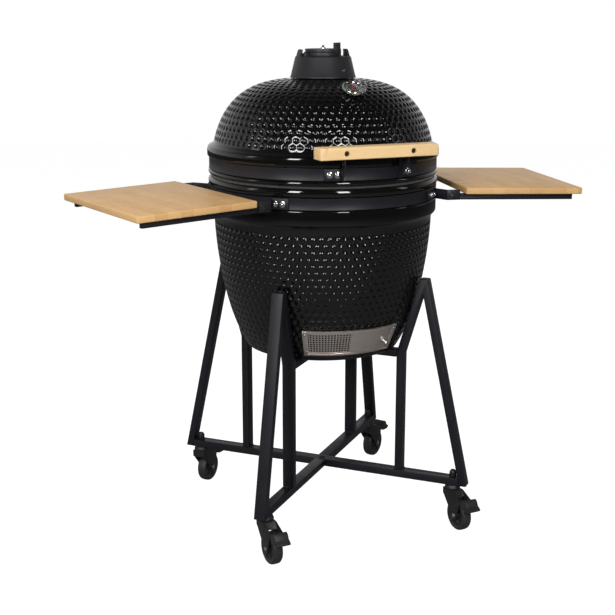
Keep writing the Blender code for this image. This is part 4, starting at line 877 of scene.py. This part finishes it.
case += [(LENS_RADIUS + 0.0008, depth - 0.0004), (LENS_RADIUS, depth - 0.0014)]
case += [(LENS_RADIUS, 0.0022), (0.0, 0.0022)]


def polished(tree, shader, scale, detail, smooth, rough):
    """Faint haze that polishing leaves in a gloss surface."""
    place = tree.nodes.new("ShaderNodeTexCoord").outputs["Object"]
    haze = noise(tree, place, scale, detail)
    tree.links.new(ranged(tree, haze, 0.3, 0.7, smooth, rough), shader.inputs["Roughness"])


def chrome_finish():
    """Plated chrome: a plain mirror with faint polishing haze."""
    made, tree, shader = finish("Polished chrome", (0.78, 0.79, 0.80), 0.08, 1.0)
    polished(tree, shader, 120.0, 3.0, 0.05, 0.16)
    return made


chrome = chrome_finish()
piece(
    "thermometer_case_rolled", placed(turned(case, 72, closed=False), dial_place), chrome, "lid",
    ["thermometer_case"], 40,
)


dial_black = coated("Dial black", (0.010, 0.010, 0.010), (0.020, 0.020, 0.020), 0.40, 0.50, 900.0, 0.05)
face = turned([(0.0, 0.0023), (0.0230, 0.0023), (0.0230, DIAL_HEIGHT), (0.0, DIAL_HEIGHT)], 64, closed=False)
piece("dial_face", placed(face, dial_place), dial_black, "lid")
SWEEP_START, SWEEP = 225.0, -270.0
for first, last, name, colour in DIAL_ZONES:
    paint = coated(name, tuple(c * 0.85 for c in colour), colour, 0.35, 0.45, 900.0, 0.04)
    high_end, low_end = (SWEEP_START + SWEEP * share - 180 for share in (first, last))
    zone = wedge(0.0150, 0.0205, DIAL_HEIGHT - 0.0002, DIAL_HEIGHT + 0.00025, low_end, high_end, 12)
    piece(f"dial_{name.split()[1]}_zone", placed(zone, dial_place), paint, "lid")
ticks = []
dial_white = bpy.data.materials["Dial white"]
for i in range(DIAL_TICKS):
    angle = SWEEP_START + SWEEP * i / (DIAL_TICKS - 1) - 180
    inner = 0.0118 if i % 3 == 0 else 0.0134
    low, high = DIAL_HEIGHT - 0.0002, DIAL_HEIGHT + 0.0003
    ticks.append(wedge(inner, 0.0146, low, high, angle - 0.9, angle + 0.9, 1))
piece("dial_ticks", placed(gathered(*ticks), dial_place), dial_white, "lid")

pointer_red = coated("Pointer red", (0.42, 0.012, 0.008), (0.62, 0.020, 0.012), 0.30, 0.40, 600.0, 0.05)
piece(
    "pointer_painted", dressed("thermometer_needle", 0.0002, 1), pointer_red,
    "thermometer_pointer", ["thermometer_needle"],
)


def lens_finish():
    made, tree, shader = finish("Dial lens", (0.96, 0.98, 0.98), 0.02)
    shader.inputs["Transmission Weight"].default_value = 1.0
    shader.inputs["IOR"].default_value = 1.45
    polished(tree, shader, 90.0, 2.0, 0.01, 0.05)
    return made


lens = [(0.0, depth - 0.0028), (LENS_RADIUS - 0.0002, depth - 0.0028), (LENS_RADIUS - 0.0002, depth - 0.0018)]
lens += [(LENS_RADIUS * s, depth - 0.0018 + 0.0008 * (1 - s * s)) for s in (0.9, 0.7, 0.5, 0.25)]
lens += [(0.0, depth - 0.0010)]
piece(
    "lens_domed", placed(turned(lens, 64, closed=False), dial_place), lens_finish(), "lid",
    ["thermometer_lens"], 40,
)

# ---------------------------------------------------------------- chimney and top vent
# A cast iron cone stands on the crown with two lugs at its rim. A swinging plate and a daisy wheel lie
# on it, with air holes that line up when the wheel is turned by its tab.

CHIMNEY_HIGH_Z = 1.1166
CHIMNEY_BASE, CHIMNEY_TOP, CHIMNEY_MOUTH = 0.0765, 0.0645, 0.036
SPIGOT = 0.0565
SET_SCREW_Z, SET_SCREW_ANGLES = 1.0855, (-103.0, 17.0, 137.0)

cast_iron = coated("Cast iron", (0.009, 0.009, 0.0115), (0.016, 0.016, 0.0195), 0.42, 0.56, 900.0, 0.22, 20.0)
low, high = CHIMNEY_LOW_Z, CHIMNEY_HIGH_Z
cone = [(SPIGOT - 0.007, low - 0.018), (SPIGOT, low - 0.018), (SPIGOT, low), (CHIMNEY_BASE, low)]
cone += [(CHIMNEY_BASE, low + 0.0035), (CHIMNEY_BASE - 0.0012, low + 0.0046)]
cone += [(CHIMNEY_TOP + 0.0010, high - 0.0030)]
cone += arc((CHIMNEY_TOP - 0.0018, high - 0.0018), 0.0018, 15, 90, 5)
cone += [(CHIMNEY_MOUTH, high), (CHIMNEY_MOUTH, high - 0.0056), (SPIGOT - 0.007, high - 0.0154)]
slope = (CHIMNEY_BASE - CHIMNEY_TOP) / (high - low)
LUG_Z, LUG_HALF = 1.133, 0.010
lug_out = CHIMNEY_TOP - slope * (LUG_Z - high)
lug_in = CHIMNEY_TOP - 0.0095


def lug_shape(side):
    """A raised lug whose outer face carries on the cone's slope, with a rounded head."""
    bm = bmesh.new()
    profile = [
        (lug_in, high - 0.004), (CHIMNEY_TOP + slope * 0.004, high - 0.004), (lug_out, LUG_Z - 0.0045),
        (lug_out - 0.0012, LUG_Z - 0.0014), (lug_out - 0.0038, LUG_Z - 0.0001),
        (lug_out - 0.0064, LUG_Z - 0.0014), (lug_in, LUG_Z - 0.005),
    ]
    face = bm.faces.new([bm.verts.new((x, -LUG_HALF, z)) for x, z in profile])
    grown = bmesh.ops.extrude_face_region(bm, geom=[face])
    lifted = [item for item in grown["geom"] if isinstance(item, bmesh.types.BMVert)]
    bmesh.ops.translate(bm, verts=lifted, vec=(0, 2 * LUG_HALF, 0))
    bmesh.ops.recalc_face_normals(bm, faces=bm.faces)
    return placed(eased(bm, 0.0016, 3, 40), azimuth_frame(side))


pivot = Vector(joints["top_vent_swing"]["pos_m"])
pivot_pin = eased(round_bar(0.003, (pivot.x, 0, high - 0.003), (pivot.x, 0, high + 0.0098), 20), 0.0006)
chimney = gathered(eased(turned(cone, 128), 0.0006, 2, 40), lug_shape(90.0), lug_shape(-90.0), pivot_pin)
piece("chimney_cast", chimney, cast_iron, "lid", ["vent_chimney"], 35)
plate = dressed("vent_swing_plate", 0.0009, 2, 30)
piece("swing_plate_cast", plate, cast_iron, "vent_plate", ["vent_swing_plate"])
wheel = dressed("vent_daisy_wheel", 0.0009, 2, 30)
piece("daisy_wheel_cast", wheel, cast_iron, "daisy_wheel", ["vent_daisy_wheel"])
bolt = dressed("vent_centre_bolt", 0.0003, 1, 40)
piece("centre_bolt_zinc", bolt, rivet_zinc, "vent_plate", ["vent_centre_bolt"])
screw_r = CHIMNEY_BASE - slope * (SET_SCREW_Z - low)
set_screws = []
for degrees in SET_SCREW_ANGLES:
    start, end = (screw_r - 0.002, 0, SET_SCREW_Z), (screw_r + 0.0016, 0, SET_SCREW_Z)
    stub = eased(round_bar(0.0030, start, end, 20, 0.0024), 0.0005)
    set_screws.append(placed(stub, azimuth_frame(degrees)))
piece("chimney_set_screws", gathered(*set_screws), bright_steel, "lid")

# ---------------------------------------------------------------- handle
# A planed bamboo bar is screwed from the front to two folded steel brackets, whose flanges lie on the
# lid band and are held by cap nuts.

HANDLE_SCREW_X = 0.079
HANDLE_NUT_ANGLES = (16.5, 20.1)
CAP_NUT = 0.0064


def timber_strips():
    """Glued bamboo strips: grain runs along x, strips lie side by side along y."""
    number, colour = "NodeSocketFloat", "NodeSocketColor"
    group, given, out = new_group(
        "Bamboo strips",
        [
            ("Vector", "NodeSocketVector", (0, 0, 0)), ("Strip", number, 0.02),
            ("Light", colour, (0.7, 0.5, 0.25, 1)), ("Dark", colour, (0.5, 0.3, 0.12, 1)),
            ("Mark", colour, (0.3, 0.15, 0.05, 1)), ("Contrast", number, 1.0),
        ],
        [("Colour", colour), ("Roughness", number), ("Normal", "NodeSocketVector")],
    )
    split = add_node(group, "ShaderNodeSeparateXYZ", {"Vector": given["Vector"]})
    count = sums(group, "DIVIDE", split.outputs["Y"], given["Strip"])
    index = sums(group, "FLOOR", count)
    tone = add_node(group, "ShaderNodeTexWhiteNoise", {"W": index}, noise_dimensions="1D").outputs["Value"]
    shift = add_node(group, "ShaderNodeCombineXYZ", {"X": tone, "Y": tone, "Z": index}).outputs[0]
    places = {0: given["Vector"], 1: shift}
    moved = add_node(group, "ShaderNodeVectorMath", places, operation="ADD").outputs[0]
    drawn_out = add_node(group, "ShaderNodeMapping", {"Vector": moved, "Scale": (0.035, 1.0, 1.0)})
    fibre = noise(group, drawn_out.outputs[0], 900.0, 5.0, 0.6)
    both = sums(group, "MULTIPLY_ADD", tone, 0.30, fibre)
    all_three = sums(group, "ADD", both, noise(group, moved, 11.0, 3.0))
    share = ranged(group, all_three, 0.80, 1.65, 0.0, given["Contrast"])
    plain = blended(group, share, given["Light"], given["Dark"])
    lengths = add_node(group, "ShaderNodeMapping", {"Vector": moved, "Scale": (1.0, 0.25, 0.25)})
    knot = ranged(group, noise(group, lengths.outputs[0], 42.0), 0.64, 0.74, 0.0, 0.45)
    marked = blended(group, knot, plain, given["Mark"])
    across = sums(group, "ABSOLUTE", sums(group, "SUBTRACT", sums(group, "FRACT", count), 0.5))
    seam = ranged(group, across, 0.487, 0.5, 0.0, 0.22)
    group.links.new(blended(group, seam, marked, given["Mark"]), out["Colour"])
    group.links.new(ranged(group, fibre, 0.3, 0.7, 0.36, 0.52), out["Roughness"])
    group.links.new(bumped(group, fibre, 0.16, 0.0004), out["Normal"])
    return group


strips = timber_strips()


def bamboo(name, turn, strip, light, dark, mark, contrast):
    """Oiled bamboo whose grain lies along the turned x."""
    made, tree, shader = finish(name, light, 0.42)
    place = tree.nodes.new("ShaderNodeTexCoord").outputs["Object"]
    lay = add_node(tree, "ShaderNodeMapping", {"Vector": place, "Rotation": (0, 0, radians(turn))})
    values = {"Vector": lay.outputs[0], "Strip": strip, "Contrast": contrast}
    values |= {"Light": (*light, 1.0), "Dark": (*dark, 1.0), "Mark": (*mark, 1.0)}
    take_surface(add_node(tree, "ShaderNodeGroup", values, node_tree=strips), tree, shader)
    return made


handle_bamboo = bamboo(
    "Handle bamboo", 0.0, 0.0135, (0.90, 0.64, 0.33), (0.74, 0.47, 0.21), (0.42, 0.21, 0.07), 0.9
)
bar_low, bar_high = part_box("handle_bar")
bar = bmesh.new()
bar_size = Matrix.Diagonal((*(bar_high - bar_low), 1))
bmesh.ops.create_cube(bar, size=1.0, matrix=Matrix.Translation((bar_low + bar_high) / 2) @ bar_size)
bar_piece = piece(
    "handle_bar_planed", eased(bar, 0.0026, 4), handle_bamboo, "lid", ["handle_bar"], 40
)
bar_mid = (bar_low.z + bar_high.z) / 2


def screw_bar(x, start, end, radius, segments):
    """A bar along the handle's screw at x, between two distances behind the handle's front face."""
    return round_bar(radius, (x, bar_low.y + start, bar_mid), (x, bar_low.y + end, bar_mid), segments)


bar_depth = bar_high.y - bar_low.y
for x in (-HANDLE_SCREW_X, HANDLE_SCREW_X):
    cut_from(bar_piece, screw_bar(x, -0.01, 0.0068, 0.0061, 32), 40)
    cut_from(bar_piece, screw_bar(x, 0.005, bar_depth + 0.01, 0.0034, 24), 40)

dark_screw = coated(
    "Blackened screws", (0.020, 0.014, 0.010), (0.060, 0.045, 0.035), 0.35, 0.50, 600.0, 0.10, 60.0, 0.6
)
for name, side in (("left", -1), ("right", 1)):
    x = side * HANDLE_SCREW_X
    head = eased(screw_bar(x, 0.0036, 0.0066, 0.0054, 32), 0.0006)
    shank = screw_bar(x, 0.006, bar_depth + 0.0068, 0.0029, 20)
    node = f"handle_screw_{name}"
    screw = piece(f"{node}_sunk", head, dark_screw, "lid", [node], 30)
    cut_from(screw, screw_bar(x, 0.0, 0.0056, 0.0026, 6), 30)
    piece(f"handle_screw_{name}_shank", shank, dark_screw, "lid")
    node = f"handle_bracket_{name}"
    piece(f"folded_{node}", dressed(node, 0.0006, 2, 30), powder_coat, "lid", [node])

# Cap nuts: a hexagon with a domed end on a thin washer. Two hold each bracket flange.


def cap_nut(radius=0.2733):
    """A nut on the band at the front of its own frame, x outwards."""
    hexagon = eased(round_bar(CAP_NUT, (radius + 0.0008, 0, 0), (radius + 0.0040, 0, 0), 6), 0.0005)
    washer = eased(round_bar(CAP_NUT + 0.0006, (radius - 0.0004, 0, 0), (radius + 0.0010, 0, 0), 32), 0.0003)
    dome = bmesh.new()
    bmesh.ops.create_uvsphere(dome, u_segments=24, v_segments=12, radius=CAP_NUT * 0.80)
    bmesh.ops.scale(dome, verts=dome.verts, vec=(0.85, 1, 1))
    bmesh.ops.translate(dome, verts=dome.verts, vec=(radius + 0.0040, 0, 0))
    return gathered(washer, hexagon, dome)


lid_nut_z = sum(lid_band_z) / 2
handle_nuts = [
    placed(cap_nut(), azimuth_frame(side * degrees, lid_nut_z))
    for side in (-1, 1) for degrees in HANDLE_NUT_ANGLES
]
piece("handle_cap_nuts", gathered(*handle_nuts), bright_steel, "lid", smooth=40)

# ---------------------------------------------------------------- rear hinge
# Two folded brackets on the bands share one pin with bolt heads. Two wound springs round the pin take
# most of the lid's weight.

for node, body in (("hinge_base_bracket", "grill_base"), ("hinge_lid_bracket", "lid")):
    piece(f"folded_{node}", dressed(node, 0.0007, 2, 30), powder_coat, body, [node])
hinge = joints["lid_hinge"]["pos_m"]
pin_low, pin_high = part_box("hinge_pin")
pin = gathered(
    eased(round_bar(0.005, (pin_low.x + 0.002, *hinge[1:]), (pin_high.x - 0.002, *hinge[1:]), 32), 0.0004),
    eased(round_bar(0.009, (pin_low.x, *hinge[1:]), (pin_low.x + 0.0045, *hinge[1:]), 6), 0.0007),
    eased(round_bar(0.009, (pin_high.x - 0.0045, *hinge[1:]), (pin_high.x, *hinge[1:]), 6), 0.0007),
)
piece("hinge_pin_bolt", pin, rivet_zinc, "grill_base", ["hinge_pin"], 30)

SPRING_WIRE, SPRING_TURNS, SPRING_RADIUS = 0.0021, 4, 0.0076
SPRING_START_X, SPRING_END_X = 0.0100, 0.0400
STEPS_A_TURN = 24
for name, side in (("left", -1), ("right", 1)):
    coil = bmesh.new()
    ring = bmesh.ops.create_circle(coil, segments=10, radius=SPRING_WIRE, cap_ends=True)
    bmesh.ops.rotate(coil, verts=coil.verts, matrix=Matrix.Rotation(pi / 2, 3, "X"))
    start = (side * SPRING_START_X, hinge[1], hinge[2] + SPRING_RADIUS)
    bmesh.ops.translate(coil, verts=coil.verts, vec=start)
    steps = SPRING_TURNS * STEPS_A_TURN
    travel = (side * (SPRING_END_X - SPRING_START_X) / steps, 0, 0)
    bmesh.ops.spin(
        coil, geom=coil.faces[:], cent=(0, hinge[1], hinge[2]), axis=(1, 0, 0), dvec=travel, steps=steps,
        angle=2 * pi * SPRING_TURNS,
    )
    bmesh.ops.remove_doubles(coil, verts=coil.verts, dist=1e-6)
    bmesh.ops.recalc_face_normals(coil, faces=coil.faces)
    node = f"hinge_spring_{name}"
    piece(f"wound_{node}", coil, rivet_zinc, "grill_base", [node], 60)

HINGE_NUT_ANGLES = (173.0, 187.0)
base_nut_z = sum(base_band_z) / 2
for name, nut_z, body in (("lid", lid_nut_z, "lid"), ("base", base_nut_z, "grill_base")):
    nuts = [placed(cap_nut(), azimuth_frame(degrees, nut_z)) for degrees in HINGE_NUT_ANGLES]
    piece(f"hinge_cap_nuts_{name}", gathered(*nuts), bright_steel, body, smooth=40)

# ---------------------------------------------------------------- side shelves
# Each shelf is a bamboo board glued up from strips that run front to back, screwed to two steel arms.
# The arms turn on rivets in folded brackets, and cap nuts hold the brackets to the base band.

SHELF_SWEEP = 11.3
BRACKET_SPREAD = 34.95
SHELF_NUT_SPREAD, SHELF_NUT_Z = 1.8, 0.809
BOARD_STRIP = 0.0300

for name, side in (("left", -1), ("right", 1)):
    board_bamboo = bamboo(
        f"Shelf bamboo {name}", 90.0 + side * SHELF_SWEEP, BOARD_STRIP, (0.74, 0.46, 0.200),
        (0.58, 0.325, 0.125), (0.24, 0.105, 0.035), 1.0,
    )
    board = dressed(f"shelf_board_{name}", 0.0006, 2, 20)
    piece(f"board_{name}", board, board_bamboo, f"shelf_{name}", [f"shelf_board_{name}"], 25)
    for end in ("front", "rear"):
        arm, bracket = f"shelf_arm_{end}_{name}", f"shelf_bracket_{end}_{name}"
        piece(f"tube_{arm}", dressed(arm, 0.0012, 3), powder_coat, f"shelf_{name}", [arm])
        folded = dressed(bracket, 0.0006, 2)
        piece(f"folded_{bracket}", folded, powder_coat, "grill_base", [bracket])
        spread = -BRACKET_SPREAD if end == "front" else BRACKET_SPREAD
        facing = side * (90.0 - SHELF_SWEEP + spread)
        nuts = [
            placed(cap_nut(), azimuth_frame(facing + degrees, SHELF_NUT_Z))
            for degrees in (-SHELF_NUT_SPREAD, SHELF_NUT_SPREAD)
        ]
        piece(f"cap_nuts_{end}_{name}", gathered(*nuts), bright_steel, "grill_base", smooth=40)

# ---------------------------------------------------------------- studio
# A pale floor, two tall soft boxes in front and a bright cove behind.


def studio_floor():
    bm = bmesh.new()
    bmesh.ops.create_circle(bm, cap_ends=True, segments=96, radius=9.0)
    mesh = bpy.data.meshes.new("studio_floor")
    bm.to_mesh(mesh)
    bm.free()
    made, tree, shader = finish("Studio floor", (0.80, 0.80, 0.80), 0.9)
    shader.inputs["Emission Color"].default_value = (1, 1, 1, 1)
    seen = tree.nodes.new("ShaderNodeLightPath").outputs["Is Camera Ray"]
    tree.links.new(sums(tree, "MULTIPLY", seen, 0.93), shader.inputs["Emission Strength"])
    shade = blended(tree, seen, (0.22, 0.22, 0.22, 1), (0.30, 0.30, 0.30, 1))
    tree.links.new(shade, shader.inputs["Base Color"])
    mesh.materials.append(made)
    floor = bpy.data.objects.new("studio_floor", mesh)
    bpy.context.scene.collection.objects.link(floor)


def soft_box(name, azimuth, distance, height, size, watts, mirrored=True):
    """A panel light at an azimuth round the grill, facing its lid."""
    light = bpy.data.lights.new(name, "AREA")
    light.shape, light.size, light.size_y, light.energy = "RECTANGLE", *size, watts
    lamp = bpy.data.objects.new(name, light)
    at = azimuth_frame(azimuth) @ Vector((distance, 0, height))
    facing = (at - Vector((0, 0, 0.85))).to_track_quat("Z", "Y").to_matrix().to_4x4()
    lamp.matrix_world = Matrix.Translation(at) @ facing
    lamp.visible_camera = False
    lamp.visible_glossy = mirrored
    bpy.context.scene.collection.objects.link(lamp)


studio_floor()
soft_box("left_soft_box", -50.5, 3.2, 2.05, (0.62, 1.4), 62.0)
soft_box("right_soft_box", -3.0, 3.2, 2.05, (0.62, 1.4), 62.0)
soft_box("left_side_fill", -96.0, 3.4, 1.9, (0.5, 1.5), 5.0)
soft_box("right_side_fill", 62.0, 3.4, 1.9, (0.5, 1.5), 5.0)
soft_box("top_fill", 180.0, 0.6, 3.3, (2.2, 2.2), 18.0, mirrored=False)
soft_box("rear_left_box", -140.0, 3.6, 1.9, (0.7, 1.4), 20.0, mirrored=False)
soft_box("rear_right_box", 150.0, 3.6, 1.9, (0.7, 1.4), 20.0, mirrored=False)

world = bpy.data.worlds.new("Studio cove")
bpy.context.scene.world = world
world.use_nodes = True
tree = world.node_tree
background = tree.nodes["Background"]
outlook = tree.nodes.new("ShaderNodeTexCoord").outputs["Generated"]
direction = add_node(tree, "ShaderNodeSeparateXYZ", {"Vector": outlook}).outputs
behind = ranged(tree, direction["Y"], -0.35, 0.75, 0.05, 0.75, interpolation_type="SMOOTHSTEP")
below = ranged(tree, direction["Z"], 0.15, 0.85, 1.0, 0.12, interpolation_type="SMOOTHSTEP")
seen = tree.nodes.new("ShaderNodeLightPath").outputs["Is Camera Ray"]
cove = sums(tree, "MULTIPLY", behind, below)
strength = add_node(tree, "ShaderNodeMix", {"Factor": seen, 2: cove, 3: 1.0})
tree.links.new(strength.outputs[0], background.inputs["Strength"])
background.inputs["Color"].default_value = (1, 1, 1, 1)

camera_data = bpy.data.cameras.new("camera")
camera_data.lens, camera_data.sensor_width = 69.67, 36.0
camera = bpy.data.objects.new("camera", camera_data)
CAMERA_TURN, CAMERA_PITCH = 0.3921, 0.2437
CAMERA_PLACE = (-1.1155, -2.6028, 1.217)
level = cos(CAMERA_PITCH)
aim = Vector((sin(CAMERA_TURN) * level, cos(CAMERA_TURN) * level, -sin(CAMERA_PITCH)))
camera.matrix_world = Matrix.Translation(CAMERA_PLACE) @ aim.to_track_quat("-Z", "Y").to_matrix().to_4x4()
bpy.context.scene.collection.objects.link(camera)
bpy.context.scene.camera = camera
bpy.context.scene.view_settings.view_transform = "Standard"
